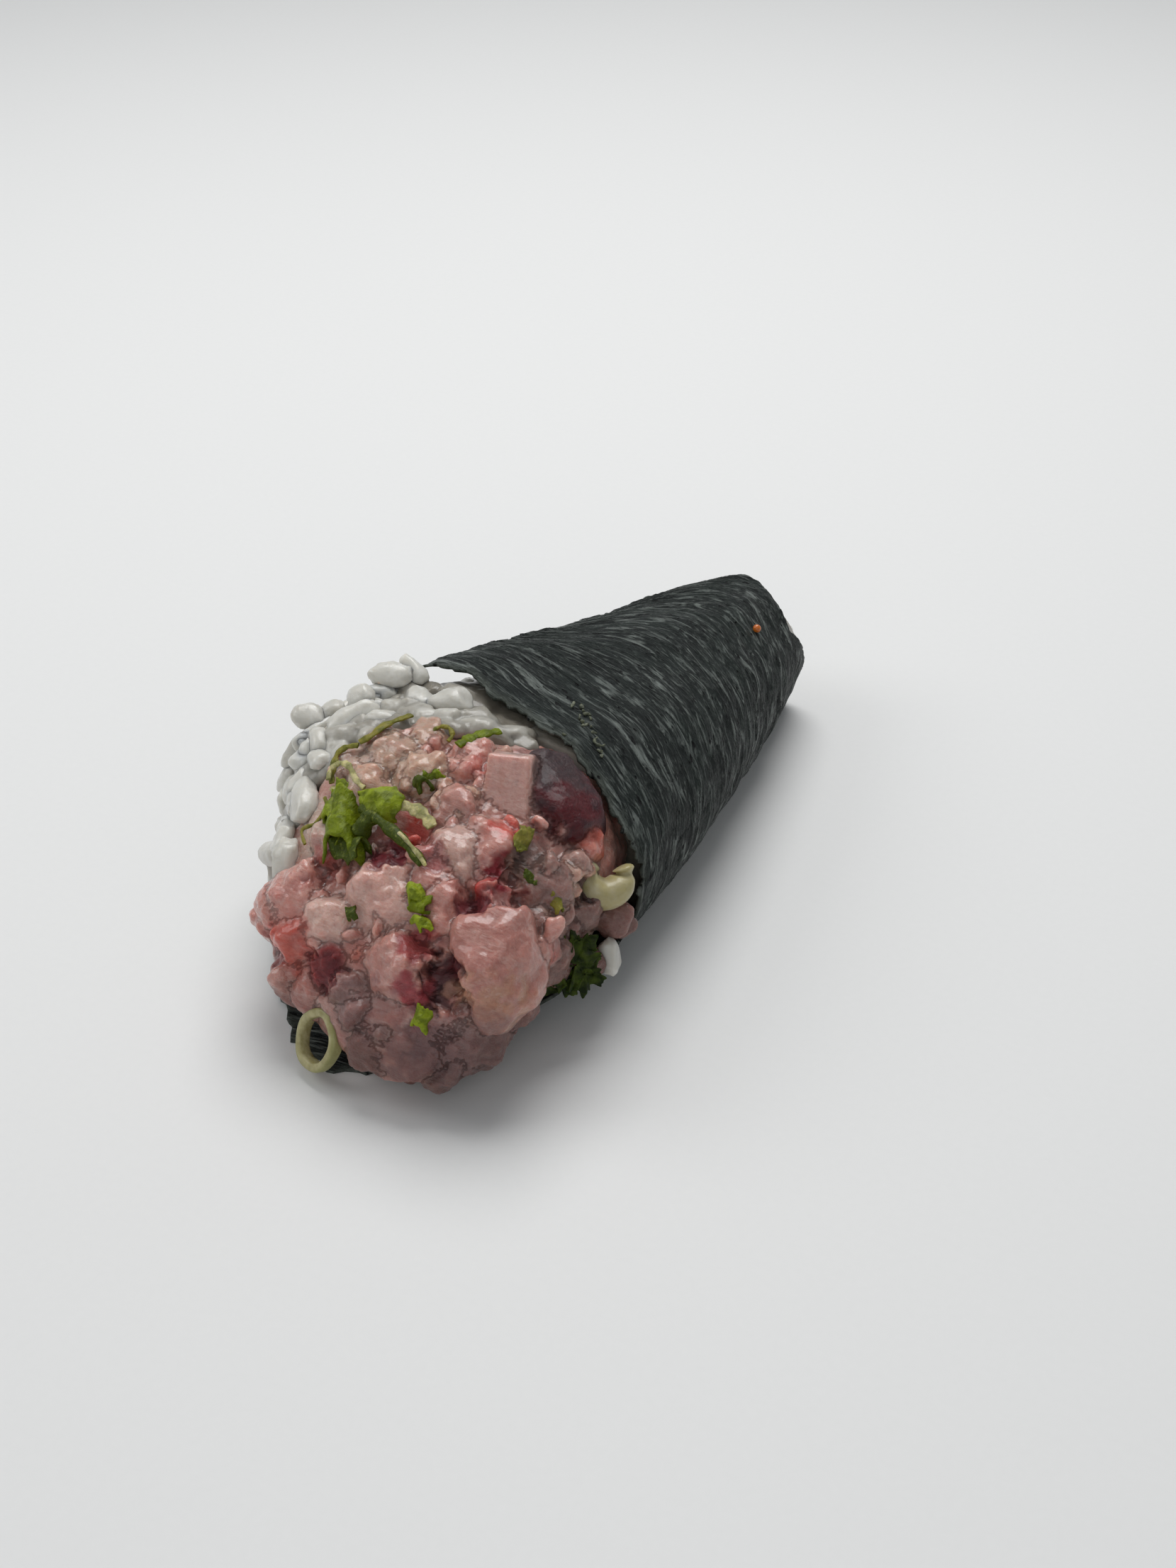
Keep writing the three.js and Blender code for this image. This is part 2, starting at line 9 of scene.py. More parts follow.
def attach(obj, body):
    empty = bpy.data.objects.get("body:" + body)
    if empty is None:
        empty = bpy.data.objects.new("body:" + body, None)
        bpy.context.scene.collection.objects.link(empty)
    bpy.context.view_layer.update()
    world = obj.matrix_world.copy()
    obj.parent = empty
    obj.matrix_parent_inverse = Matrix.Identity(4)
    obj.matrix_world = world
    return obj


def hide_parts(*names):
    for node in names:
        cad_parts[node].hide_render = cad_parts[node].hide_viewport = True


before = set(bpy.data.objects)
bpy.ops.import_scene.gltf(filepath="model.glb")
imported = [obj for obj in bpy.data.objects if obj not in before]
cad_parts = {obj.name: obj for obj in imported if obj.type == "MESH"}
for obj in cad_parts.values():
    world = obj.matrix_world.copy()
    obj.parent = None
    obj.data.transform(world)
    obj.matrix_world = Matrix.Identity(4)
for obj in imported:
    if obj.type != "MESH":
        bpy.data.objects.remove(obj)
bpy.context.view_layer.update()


# ---- Nori ----------------------------------------------------------------------------------
# A sheet of nori: seaweed pulped, dried on a mat and toasted, so it is dark, thin and ridged.
# It goes once round the filling and laps over itself along the back, held shut by the damp rice.

# Lengths are millimetres from the roll's own axis. Angles go round it from underneath, 180 on
# top, and a station is a place along it, lower toward the mouth.
mm = 0.001
roll_axis = np.array([1.0, 18.5, 0.0])
tail_y = 38.0
tail_half_width = 10.2
tail_height = 20.2
cone_squareness = 2.15
pressed_flat = 0.7
nori_thickness = 0.42
wrap_start = 190.0
wrap_turn = 395.0
flap_lift = 4.2
tucked_depth = 1.5
grain_radius = 17
# Where the sheet ends at the mouth: degrees from its start, and station.
mouth_edge = np.array([
    [0, -6], [35, -13], [60, -27], [80, -42], [110, -54], [135, -63], [155, -70], [170, -73], [188, -67],
    [210, -52], [235, -41], [253, -38], [270, -36], [290, -36], [306, -34], [327, -31], [357, -27.5],
    [374, -25], [395, -24]])
# Where it ends at the tail: angle round the roll, and station.
tail_edge = np.array([
    [0, 37], [88, 37], [124, 31.5], [150, 34.5], [178, 39.3], [205, 39], [270, 37.5], [360, 37]])


def eased(value, low, high):
    """0 below low and 1 above high, with a soft step between."""
    t = np.clip((value - low) / (high - low), 0, 1)
    return t * t * (3 - 2 * t)


def rough(places, size, octaves=2):
    """Smooth random relief, about -1 to 1, whose swells are roughly size across."""
    flat = np.asarray(places, float).reshape(-1, 3) / size
    found = [noise.fractal(Vector(place), 1.0, 2.0, octaves) for place in flat]
    return np.array(found).reshape(np.shape(places)[:-1])


def bent(value, squareness):
    """A sine or cosine, bent so that the round it draws is squarer than a circle from 2 up."""
    return np.sign(value) * np.abs(value) ** (2 / squareness)


def cone_size(y):
    """Half the width of the wrapped cone, and its height, where the roll is cut at y."""
    t = (tail_y - y) / 100
    return tail_half_width + 30.3 * t - 14.2 * t * t, tail_height + 24.5 * t - 12.5 * t * t


def cone_point(angle, y, outward=0.0, floor=0.0):
    """Points on the cone, pushed out by outward but never below the floor."""
    turn = np.radians(angle)
    half_width, height = cone_size(y)
    half_height = height / 2
    normal = np.stack([np.sin(turn) / half_width, -np.cos(turn) / half_height])
    normal /= np.hypot(*normal)
    x = half_width * bent(np.sin(turn), cone_squareness) + outward * normal[0]
    z = half_height * (1 + bent(-np.cos(turn), cone_squareness)) - pressed_flat + outward * normal[1]
    return np.stack([x, y + 0 * x, np.maximum(z, floor)], -1)


def slab_faces(columns, rows):
    """Faces of a closed sheet whose points are ordered by side, row and column."""
    low, high = np.arange(2 * (rows + 1) * (columns + 1)).reshape(2, rows + 1, columns + 1)
    corners = [
        (high[:-1, :-1], high[:-1, 1:], high[1:, 1:], high[1:, :-1]),
        (low[:-1, :-1], low[1:, :-1], low[1:, 1:], low[:-1, 1:]),
        (low[0, :-1], low[0, 1:], high[0, 1:], high[0, :-1]),
        (high[-1, :-1], high[-1, 1:], low[-1, 1:], low[-1, :-1]),
        (low[:-1, -1], low[1:, -1], high[1:, -1], high[:-1, -1]),
        (high[:-1, 0], high[1:, 0], low[1:, 0], low[:-1, 0]),
    ]
    return np.concatenate([np.stack(four, -1).reshape(-1, 4) for four in corners])


def make_piece(name, points, faces, slot, *nodes):
    """A piece of the roll, from points in millimetres, that stands for these nodes."""
    mesh = bpy.data.meshes.new(name)
    places = (points.reshape(-1, 3) + roll_axis) * mm
    mesh.from_pydata(places.tolist(), [], [list(face) for face in faces])
    shell = bmesh.new()
    shell.from_mesh(mesh)
    bmesh.ops.recalc_face_normals(shell, faces=shell.faces)
    shell.to_mesh(mesh)
    shell.free()
    mesh.shade_smooth()
    piece = bpy.data.objects.new(name, mesh)
    bpy.context.scene.collection.objects.link(piece)
    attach(piece, "root")
    if nodes:
        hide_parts(*nodes)
    return piece


def keep_number(piece, name, values):
    """Stores one number, or one colour or place, for each point of the piece's mesh."""
    values = np.asarray(values, np.float32)
    kind, field = ("FLOAT", "value") if values.ndim == 1 else ("FLOAT_VECTOR", "vector")
    piece.data.attributes.new(name, kind, "POINT").data.foreach_set(field, values.ravel())


class Value:
    """A socket that Python's operators join to Math nodes."""

    def __init__(self, finish, socket):
        self.finish = finish
        self.socket = socket

    def math(self, operation, *others):
        values = dict(enumerate((self, *others)))
        return self.finish.node("ShaderNodeMath", {"operation": operation}, values)

    def __add__(self, other):
        return self.math("ADD", other)

    def __mul__(self, other):
        return self.math("MULTIPLY", other)

    def __sub__(self, other):
        return self.math("SUBTRACT", other)

    def __rsub__(self, other):
        return (self * -1) + other

    __radd__ = __add__
    __rmul__ = __mul__

    def between(self, low, high):
        """0 where the value is low or less, 1 where it is high or more, and eased between."""
        settings = {"interpolation_type": "SMOOTHSTEP"}
        return self.finish.node("ShaderNodeMapRange", settings, {0: self, 1: low, 2: high, 3: 0.0, 4: 1.0})


class Finish:
    """A material, written as expressions. Its constants are set on the shader's own sockets."""

    def __init__(self, name, **constants):
        self.material = bpy.data.materials.new(name)
        self.material.use_nodes = True
        self.tree = self.material.node_tree
        self.skin = self.tree.nodes["Principled BSDF"]
        for socket, value in constants.items():
            self.skin.inputs[socket.replace("_", " ")].default_value = value

    def node(self, kind, settings=None, values=None, output=0):
        """Any other node: its type, its settings, then the values or links of its sockets."""
        made = self.tree.nodes.new(kind)
        for name, setting in (settings or {}).items():
            setattr(made, name, setting)
        for socket, value in (values or {}).items():
            self.feed(made.inputs[socket], value)
        return Value(self, made.outputs[output])

    def feed(self, socket, value):
        if isinstance(value, Value):
            self.tree.links.new(value.socket, socket)
        else:
            socket.default_value = value

    def kept(self, name, output="Fac"):
        """A number, colour or place that the piece's points carry."""
        return self.node("ShaderNodeAttribute", {"attribute_name": name}, output=output)

    def place(self):
        return self.node("ShaderNodeTexCoord", output="Object")

    def stretch(self, place, *scale):
        return self.node("ShaderNodeVectorMath", {"operation": "MULTIPLY"}, {0: place, 1: scale})

    def clouds(self, place, scale, detail=3.0, roughness=0.5, distortion=0.0):
        values = {"Vector": place, "Scale": scale, "Detail": detail, "Roughness": roughness}
        values["Distortion"] = distortion
        return self.node("ShaderNodeTexNoise", values=values)

    def blend(self, share, first, second):
        """One colour fading into another where share goes from 0 to 1."""
        first, second = [(*shade, 1) if isinstance(shade, tuple) else shade for shade in (first, second)]
        return self.node("ShaderNodeMix", {"data_type": "RGBA"}, {0: share, 6: first, 7: second}, output=2)

    def tint(self, share, shade, dye):
        """The shade, seen through a dye where share is 1."""
        settings = {"data_type": "RGBA", "blend_type": "MULTIPLY"}
        return self.node("ShaderNodeMix", settings, {0: share, 6: shade, 7: (*dye, 1)}, output=2)

    def relief(self, height, depth, under=None):
        """Bumps this many millimetres deep, laid over the relief under them."""
        values = {"Height": height, "Distance": depth * mm}
        if under is not None:
            values["Normal"] = under
        return self.node("ShaderNodeBump", values=values)

    def put_on(self, piece, **surface):
        """Gives the piece this finish, with what changes over it fed to the skin's own sockets."""
        for socket, value in surface.items():
            self.feed(self.skin.inputs[socket.replace("_", " ")], value)
        piece.data.materials.append(self.material)


def nori_edges(wrap):
    """Where the sheet ends at the tail and at the mouth, which is torn a little ragged."""
    around = np.stack([wrap * 0.3, 0 * wrap, 0 * wrap], -1)
    ragged = 0.35 * np.sin(wrap * 0.31) + 0.25 * np.sin(wrap * 0.83 + 1)
    nibbled = 0.7 * rough(around, 0.9, 3) + 0.5 * rough(around + 40, 0.3, 2)
    tail = np.interp((wrap_start + wrap) % 360, *tail_edge.T) + 0.35 * rough(around + 80, 1.1, 3)
    return tail, np.interp(wrap, *mouth_edge.T) + ragged + nibbled


def nori_offset(wrap, y):
    """How far the sheet stands off the cone: its start is tucked in, its free corner lifts."""
    tucked = -tucked_depth * (1 - eased(wrap, 30, 80))
    free = eased(wrap, 345, wrap_turn) * eased(-y, -12, 27)
    ripple = 0.22 * np.sin(wrap * 0.13 + y * 0.11) * eased(wrap, 250, 300)
    return tucked + flap_lift * free + ripple


def grain_of(wrap, y):
    """Across and along the ridges that the drying mat and the fibres leave, in millimetres."""
    turned = wrap - 170
    swirl = np.clip((turned - 150) / 55, 0, 1.2)
    bend = -0.4 * (turned - 150) + 1.9 * 55 / 3 * swirl ** 3 * eased(y, -16, 2)
    return y + grain_radius * np.radians(bend), grain_radius * np.radians(turned)


def drawn_out(across, along, width, length, octaves, seed):
    """Relief drawn out along the grain, with swells this wide and this long."""
    return rough(np.stack([across / width, along / length, 0 * across + seed], -1), 1.0, octaves)


nori_columns, nori_rows = 216, 206
u, v = np.meshgrid(np.linspace(0, 1, nori_columns + 1), np.linspace(0, 1, nori_rows + 1))
edge_noise = 1.1 * rough(np.stack([v * 30, 0 * v, 0 * v], -1), 3.0, 3)
wrap = (wrap_turn + edge_noise) * u
tail_end, mouth_end = nori_edges(wrap)
y = tail_end + (mouth_end - tail_end) * v
across, along = grain_of(wrap, y)
ridges = drawn_out(across, along, 1.4, 5.5, 2, 0)
waves = drawn_out(across, along, 5, 16, 1, 9)
buckles = drawn_out(across, along, 12, 14, 1, 20)
outward = nori_offset(wrap, y) + 0.3 * ridges + 0.3 * waves + 0.35 * buckles
outer = cone_point(wrap_start + wrap, y, outward, 0.0)
inner = cone_point(wrap_start + wrap, y, outward - nori_thickness, nori_thickness)
nori = make_piece(
    "nori", np.stack([inner, outer]), slab_faces(nori_columns, nori_rows), "nori", "nori_sheet")
near_edge = eased(mouth_end - y, -2.2, -0.2)
for name, values in (("across", across), ("along", along), ("near_edge", near_edge)):
    keep_number(nori, name, np.tile(values.ravel(), 2))

# The ridge and hair colours are partly the nori's paler fibres and partly painted highlight where light
# catches the raised grain. The near-black is partly dark grain and partly painted shade in the grooves.
green_black, ridge_pale_and_highlight, hair_pale_and_highlight = (0.008, 0.0115, 0.0105), (0.17, 0.19, 0.175), (0.15, 0.17, 0.152)
groove_dark_and_shade, dull_green = (0.0045, 0.0065, 0.006), (0.030, 0.044, 0.037)
torn_green, pit_black = (0.12, 0.135, 0.11), (0.0015, 0.002, 0.002)
toasted = Finish("toasted_nori", IOR=1.3)
grain = toasted.node("ShaderNodeCombineXYZ", values={0: toasted.kept("across"), 1: toasted.kept("along")})
swirl = toasted.clouds(toasted.stretch(grain, 0.16, 0.1, 1), 1.0, 2.0)
lines = toasted.clouds(toasted.stretch(grain, 0.8, 0.18, 1), 1.0, 3.0, 0.5, 1.4)
hairs = toasted.clouds(toasted.stretch(grain, 2.4, 0.5, 1), 1.0, 4.0, 0.6, 1.4)
felt = toasted.clouds(toasted.place(), 2600, 4.0, 0.65)
pits = toasted.clouds(toasted.stretch(grain, 1.1, 0.55, 1), 1.0, 1.0).between(0.66, 0.72)
# Ridges and raised hairs are painted paler, partly as painted highlight. Low hairs are painted near black,
# partly as painted shade in the grooves.
ridge = lines.between(0.5, 0.69)
shade = toasted.blend(ridge, green_black, ridge_pale_and_highlight)
shade = toasted.blend(hairs.between(0.52, 0.68) * 0.5, shade, hair_pale_and_highlight)
shade = toasted.blend(hairs.between(0.46, 0.34) * 0.75, shade, groove_dark_and_shade)
shade = toasted.blend(swirl.between(0.4, 0.65) * 0.25, shade, dull_green)
shade = toasted.blend(toasted.kept("near_edge") * 0.35, shade, torn_green)
shade = toasted.blend(pits, shade, pit_black)
relief = toasted.relief(lines + 0.3 * hairs, 1.4)
relief = toasted.relief(felt, 0.07, relief)
relief = toasted.relief(pits, -0.35, relief)
gloss = 0.5 - 0.12 * ridge + 0.2 * felt.between(0.4, 0.7)
toasted.put_on(nori, Base_Color=shade, Roughness=gloss, Normal=relief)


# ---- Rice ----------------------------------------------------------------------------------
# Short-grain rice, cooked and seasoned with vinegar: plump, moist, slightly see-through grains
# that stick to each other. They line the cone from mouth to tail and heap up behind the fish.
# Most are pressed into one sticky bed; the last ones lie on it whole.
grain_length = 6.2
grain_width = 3.3
lining_depth = nori_thickness + 0.15
rice_cell = 0.34
grain_gap = 2.9
# Cuts across the heap: station, middle, half width, low, high and squareness.
heap_rows = np.array([
    [-75, 10.5, 4, 4, 8, 2], [-74, 9.5, 7, 3, 10.5, 2], [-71, 7, 12, 1.6, 15, 2.2],
    [-67, 3.6, 17.8, 1.4, 20.5, 2.4], [-60, 2, 20.6, 1.4, 26, 2.4], [-52, 0.5, 22.8, 1.5, 30, 2.3],
    [-44, -2, 25, 1.5, 32, 2.3], [-36, -2.5, 24.5, 1.5, 32, 2.2], [-28, -3, 22.5, 1.5, 30, 2.2]])
# The fish's share of the filling, seen from above.
fish_outline = np.array([
    [1.5, 13], [5, 12], [11, -4], [34, -20], [36, -84], [-30, -88], [-26, -66], [-19.5, -60], [-18.5, -55],
    [-18, -50], [-15, -44.5], [-9.5, -39.5], [0, -36.5], [6, -30.5], [5, -10]])


def heap_point(y, angle, outward=0.0):
    """Points on the heap of filling, which leans out of the mouth, pushed out by outward."""
    stations, *columns = heap_rows.T
    centre, half_width, low, high, squareness = [np.interp(y, stations, column) for column in columns]
    turn = np.radians(angle)
    x = centre + (half_width + outward) * bent(np.sin(turn), squareness)
    z = (low + high) / 2 + ((high - low) / 2 + outward) * bent(-np.cos(turn), squareness)
    return np.stack([x, y + 0 * x, z], -1)


def heap_frame(y, angle):
    """Axes of a piece lying on the heap, as columns: along the roll, round it and out of it."""
    along = heap_point(y + 1.5, angle) - heap_point(y - 1.5, angle)
    around = heap_point(y, angle + 3.0) - heap_point(y, angle - 3.0)
    along, around = Vector(along).normalized(), Vector(around)
    out = along.cross(around).normalized()
    return Matrix((along, out.cross(along), out)).transposed()


def lay_on_heap(points, y, angle, outward, twist=0.0, tilt=0.0):
    """Lays a thing on the heap, turned about the way out of it and then tipped."""
    turn = Matrix.Rotation(math.radians(twist), 3, "Z") @ Matrix.Rotation(math.radians(tilt), 3, "X")
    axes = heap_frame(y, angle)
    spot = heap_point(y, angle) + outward * np.array(axes.col[2])
    return points @ np.array(axes @ turn).T + spot


def in_fish(points):
    """How far points lie inside the share of the filling that is fish, seen from above."""
    flat = points[..., :2]
    nearest = np.full(flat.shape[:-1], 1e9)
    crossed = np.zeros(flat.shape[:-1], bool)
    for start, end in zip(fish_outline, np.roll(fish_outline, -1, 0)):
        side = end - start
        share = np.clip(((flat - start) @ side) / (side @ side), 0, 1)
        nearest = np.minimum(nearest, np.linalg.norm(flat - start - share[..., None] * side, axis=-1))
        straddles = (start[1] > flat[..., 1]) != (end[1] > flat[..., 1])
        rise = np.where(side[1] == 0, 1e-9, side[1])
        crossed ^= straddles & (flat[..., 0] < start[0] + side[0] * (flat[..., 1] - start[1]) / rise)
    return np.where(crossed, nearest, -nearest)


def tube_faces(sides, rings):
    """Faces of a closed tube: rings of points, then the middle of its first and of its last ring."""
    at = np.arange((rings + 1) * sides).reshape(rings + 1, sides)
    around = np.roll(at, -1, 1)
    walls = np.stack([at[:-1], around[:-1], around[1:], at[1:]], -1).reshape(-1, 4).tolist()
    first, last = (rings + 1) * sides, (rings + 1) * sides + 1
    ends = [[first, b, a] for a, b in zip(at[0], around[0])]
    ends += [[last, a, b] for a, b in zip(at[-1], around[-1])]
    return walls + ends


def closed_tube(stations, angles, place):
    """Points and faces of a tube whose ring at each station is given by place."""
    y, angle = np.meshgrid(stations, angles, indexing="ij")
    rings = place(y, angle)
    points = np.concatenate([rings.reshape(-1, 3), [rings[0].mean(0), rings[-1].mean(0)]])
    return points, tube_faces(len(angles), len(stations) - 1)


def round_ball(splits):
    """Points and faces of a ball of radius 1, its triangles split this many times."""
    ball = bmesh.new()
    bmesh.ops.create_icosphere(ball, subdivisions=splits, radius=1)
    points = np.array([spot.co for spot in ball.verts])
    faces = [[corner.index for corner in face.verts] for face in ball.faces]
    ball.free()
    return points, faces


def join_parts(parts):
    """One mesh's points and faces out of several, and which part each point belongs to."""
    faces, owners, count = [], [], 0
    for i, (points, part_faces) in enumerate(parts):
        faces += [[corner + count for corner in face] for face in part_faces]
        owners.append(np.full(len(points), i))
        count += len(points)
    return np.concatenate([points for points, _ in parts]), faces, np.concatenate(owners)


def relaxed(values, edges, rounds):
    """Values at a mesh's points, each drawn toward its neighbours again and again."""
    ends = np.concatenate([edges, edges[:, ::-1]])
    count = np.bincount(ends[:, 0], minlength=len(values))[:, None]
    values = values.reshape(len(values), -1)
    for _ in range(rounds):
        sums = [np.bincount(ends[:, 0], column[ends[:, 1]], len(values)) for column in values.T]
        values = 0.4 * values + 0.6 * np.stack(sums, -1) / count
    return values


def press_together(points, faces, cell):
    """Points, their normals, edges and faces of one skin round parts that touch."""
    loose = bpy.data.meshes.new("loose_parts")
    loose.from_pydata(points.tolist(), [], faces)
    holder = bpy.data.objects.new("loose_parts", loose)
    bpy.context.scene.collection.objects.link(holder)
    pressed = holder.modifiers.new("pressed_together", "REMESH")
    pressed.mode = "VOXEL"
    pressed.voxel_size = cell
    modelled = holder.evaluated_get(bpy.context.evaluated_depsgraph_get())
    skin = bpy.data.meshes.new_from_object(modelled)
    bare, normals = np.empty((2, 3 * len(skin.vertices)))
    edges = np.empty(2 * len(skin.edges), int)
    skin.vertices.foreach_get("co", bare)
    skin.vertex_normals.foreach_get("vector", normals)
    skin.edges.foreach_get("vertices", edges)
    skin_faces = [list(face.vertices) for face in skin.polygons]
    bpy.data.objects.remove(holder)
    bpy.data.meshes.remove(loose)
    bpy.data.meshes.remove(skin)
    return bare.reshape(-1, 3), normals.reshape(-1, 3), edges.reshape(-1, 2), skin_faces


def largest_body(edges, count):
    """Which points hang together in the largest body, apart from crumbs and closed hollows."""
    body = np.arange(count)
    settled = False
    while not settled:
        least = body.copy()
        np.minimum.at(least, edges[:, 0], body[edges[:, 1]])
        np.minimum.at(least, edges[:, 1], body[edges[:, 0]])
        least = least[least]
        settled = (least == body).all()
        body = least
    return body == np.bincount(body).argmax()


def lookup_of(points):
    """Finds the nearest of these points to any place."""
    lookup = kdtree.KDTree(len(points))
    for i, spot in enumerate(points):
        lookup.insert(spot, i)
    lookup.balance()
    return lookup


class Clump:
    """Parts that cling together under one skin: its points, normals, faces and nearest parts."""

    def __init__(self, parts, cell, softness):
        points, faces, owners = join_parts(parts)
        bare, normals, edges, skin_faces = press_together(points, faces, cell)
        kept = largest_body(edges, len(bare))
        number = np.cumsum(kept) - 1
        self.edges = number[edges[kept[edges[:, 0]]]]
        self.faces = [number[face].tolist() for face in skin_faces if kept[face[0]]]
        self.points = relaxed(bare[kept], self.edges, softness)
        normals = relaxed(normals[kept], self.edges, 2)
        self.normals = normals / np.linalg.norm(normals, axis=1, keepdims=True)
        lookup = lookup_of(points)
        self.nearest = owners[[lookup.find(spot)[1] for spot in self.points]]

    def hollow(self, rounds):
        """How deep each point lies in a dip between its neighbours, in millimetres."""
        wide = relaxed(self.points, self.edges, rounds)
        return ((wide - self.points) * self.normals).sum(1)

    def swell(self, height):
        """Pushes each point out along its normal by its own height."""
        self.points = self.points + self.normals * height[:, None]


def rice_skin(y, angle):
    """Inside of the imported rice: well under the heap's skin, and deeper still under the fish."""
    bare = heap_point(y, angle)
    under = eased(-in_fish(bare), -1.0, 2.5)
    sunk = heap_point(y, angle, -6.0 + 4.6 * under)
    low = np.interp(y, heap_rows[:, 0], heap_rows[:, 3])
    sunk[..., 2] = np.maximum(sunk[..., 2], low)
    return sunk


def lining_skin(y, angle):
    """The rice pressed against the inside of the sheet."""
    tuck = 1.3 * eased(np.cos(np.radians(angle - 215)), 0.1, 0.8)
    return cone_point(angle, y, -lining_depth - tuck, nori_thickness + 0.1)


draw = np.random.default_rng(7)
grain_sides, grain_rings = 18, 15
# How far each facet's cut leans toward the grain's length.
facet_leans = (0.15, 0.15, 0.2, 0.2, 0.3, 0.9, 1.2)


def rice_grain(length=grain_length, width=grain_width):
    """One plump grain, lying along Y: bowed, faceted by the milling, nicked where its germ was."""
    pole = np.linspace(0, np.pi, grain_rings + 1)[1:-1]
    turn = np.linspace(0, 2 * np.pi, grain_sides, endpoint=False)
    pole, turn = np.meshgrid(pole, turn, indexing="ij")
    plump = np.sin(pole) ** draw.uniform(0.5, 0.66)
    nick = 1 - 0.45 * np.exp(-((turn - 1.6) / 0.6) ** 2 - ((pole - 0.35) / 0.3) ** 2)
    x = plump * np.cos(turn) * nick * width / 2 * draw.uniform(1.04, 1.16)
    z = plump * np.sin(turn) * nick * width / 2 * draw.uniform(0.86, 1.0)
    y = np.cos(pole) * length / 2 * draw.uniform(1.0, 1.1)
    taper = 1 + draw.uniform(-0.2, 0.2) * np.cos(pole)
    bow = draw.uniform(-0.35, 0.35) * (np.cos(pole) ** 2 - 0.4)
    body = np.stack([x * taper + bow, y, z * taper], -1)
    tips = np.array([[bow[0, 0], y[0, 0] * 1.02, 0], [bow[-1, 0], y[-1, 0] * 1.02, 0]])
    points = np.concatenate([body.reshape(-1, 3), tips])
    for lean in facet_leans:
        cut = draw.normal(size=3) * (1, lean, 1)
        cut /= np.linalg.norm(cut)
        reach = points @ cut
        limit = draw.uniform(0.66, 0.88) if lean < 0.5 else draw.uniform(0.74, 0.9)
        proud = np.maximum(reach - limit * reach.max(), 0)
        points = points - (0.95 - 0.2 * lean) * proud[:, None] * cut
    return points * (1 + 0.1 * rough(points + draw.uniform(0, 90, 3), 1.1, 3))[:, None]


def lay_grain(start, end, width):
    """A grain that reaches from one place to another, its flatter side up."""
    start, end = Vector(start), Vector(end)
    along = (end - start).normalized()
    side = along.cross(Vector((0, 0, 1))).normalized()
    axes = Matrix((side, along, side.cross(along))).transposed()
    return rice_grain((end - start).length + 0.6, width) @ np.array(axes).T + (start + end) / 2


def scatter(i):
    """Two shares from 0 to 1 that spread evenly as i counts up."""
    return (0.5 + i * 0.7549) % 1, (0.5 + i * 0.5698) % 1


grain_faces = tube_faces(grain_sides, grain_rings - 2)
sticky, whole = [], []
for i in range(330):
    across_share, along_share = scatter(i)
    station = -68 + 46 * along_share
    angle = 158 + 142 * across_share
    spot = heap_point(station, angle)
    under_flap = station > -30 and angle < 228
    if in_fish(spot) > 0.3 or under_flap or (station < -62 and angle < 212) or spot[2] < 4.5:
        continue
    sunk = draw.uniform(-2.2, -1.1)
    grain = rice_grain()
    twist, tilt = draw.uniform(0, 180), draw.uniform(-25, 25)
    sticky.append(lay_on_heap(grain, station, angle, sunk, twist, tilt))
# The grains that show round the back of the fish: both ends and the width.
crown = [
    [(-21.5, -31.5, 31.2), (-16.8, -29.5, 31.1), 4.1], [(-19, -27.5, 32), (-15.2, -28.5, 30.2), 2.8],
    [(-20.5, -34.2, 29.6), (-17.4, -32, 28.6), 3], [(-21, -37, 29.4), (-18.9, -35.5, 30.8), 3.5],
    [(-20, -43, 28.4), (-17.2, -37, 30), 3.6], [(-26.8, -42, 28), (-23.4, -41, 27.6), 4],
    [(-24, -39.5, 27.4), (-22, -38, 28.8), 3], [(-24.5, -45, 25.6), (-21.8, -43.5, 26.9), 2.8],
    [(-14.7, -32, 30.3), (-10.6, -33.5, 30), 3.2], [(-10.7, -33, 30.6), (-6, -30.5, 30.9), 4],
    [(-15.8, -40, 29.9), (-11.4, -38.4, 30.3), 3], [(-22.8, -47.8, 24.2), (-21.2, -46.6, 26), 2.8],
    [(-21.6, -43.6, 27.8), (-18.8, -46.4, 27.4), 3.2], [(-19.6, -47, 26.6), (-16.4, -49, 27.6), 3]]
# Grains half pressed into the bed in front of them.
pressed_in = [
    [(-9.4, -37.6, 30.4), (-2, -37.4, 31.1), 3.4], [(-11.5, -29, 29.8), (-7.9, -28, 29.4), 3.4],
    [(-17, -35.5, 29), (-13.2, -34, 29.6), 3.4], [(-12.6, -36.6, 30), (-9.4, -34.8, 30.4), 3.2],
    [(-6, -34.6, 30.6), (-2, -33, 30.2), 3.3], [(-1, -35.6, 30.4), (3.4, -34.4, 29.6), 3.2],
    [(2.4, -32, 29.4), (6, -33.6, 28.8), 3], [(-20.6, -39.4, 27.6), (-18, -41.8, 28), 3.2],
    [(-16, -43, 28.6), (-13.4, -40.6, 29.2), 3], [(-22.6, -42, 26.4), (-20.4, -44.8, 26.6), 3.2],
    [(-17.8, -29.6, 29), (-14.6, -31.4, 28.8), 3.2], [(-15, -27.6, 28.6), (-12, -29.6, 29), 3.2]]
for pile, rows in ((whole, crown), (sticky, pressed_in)):
    pile += [lay_grain(*row) for row in rows]
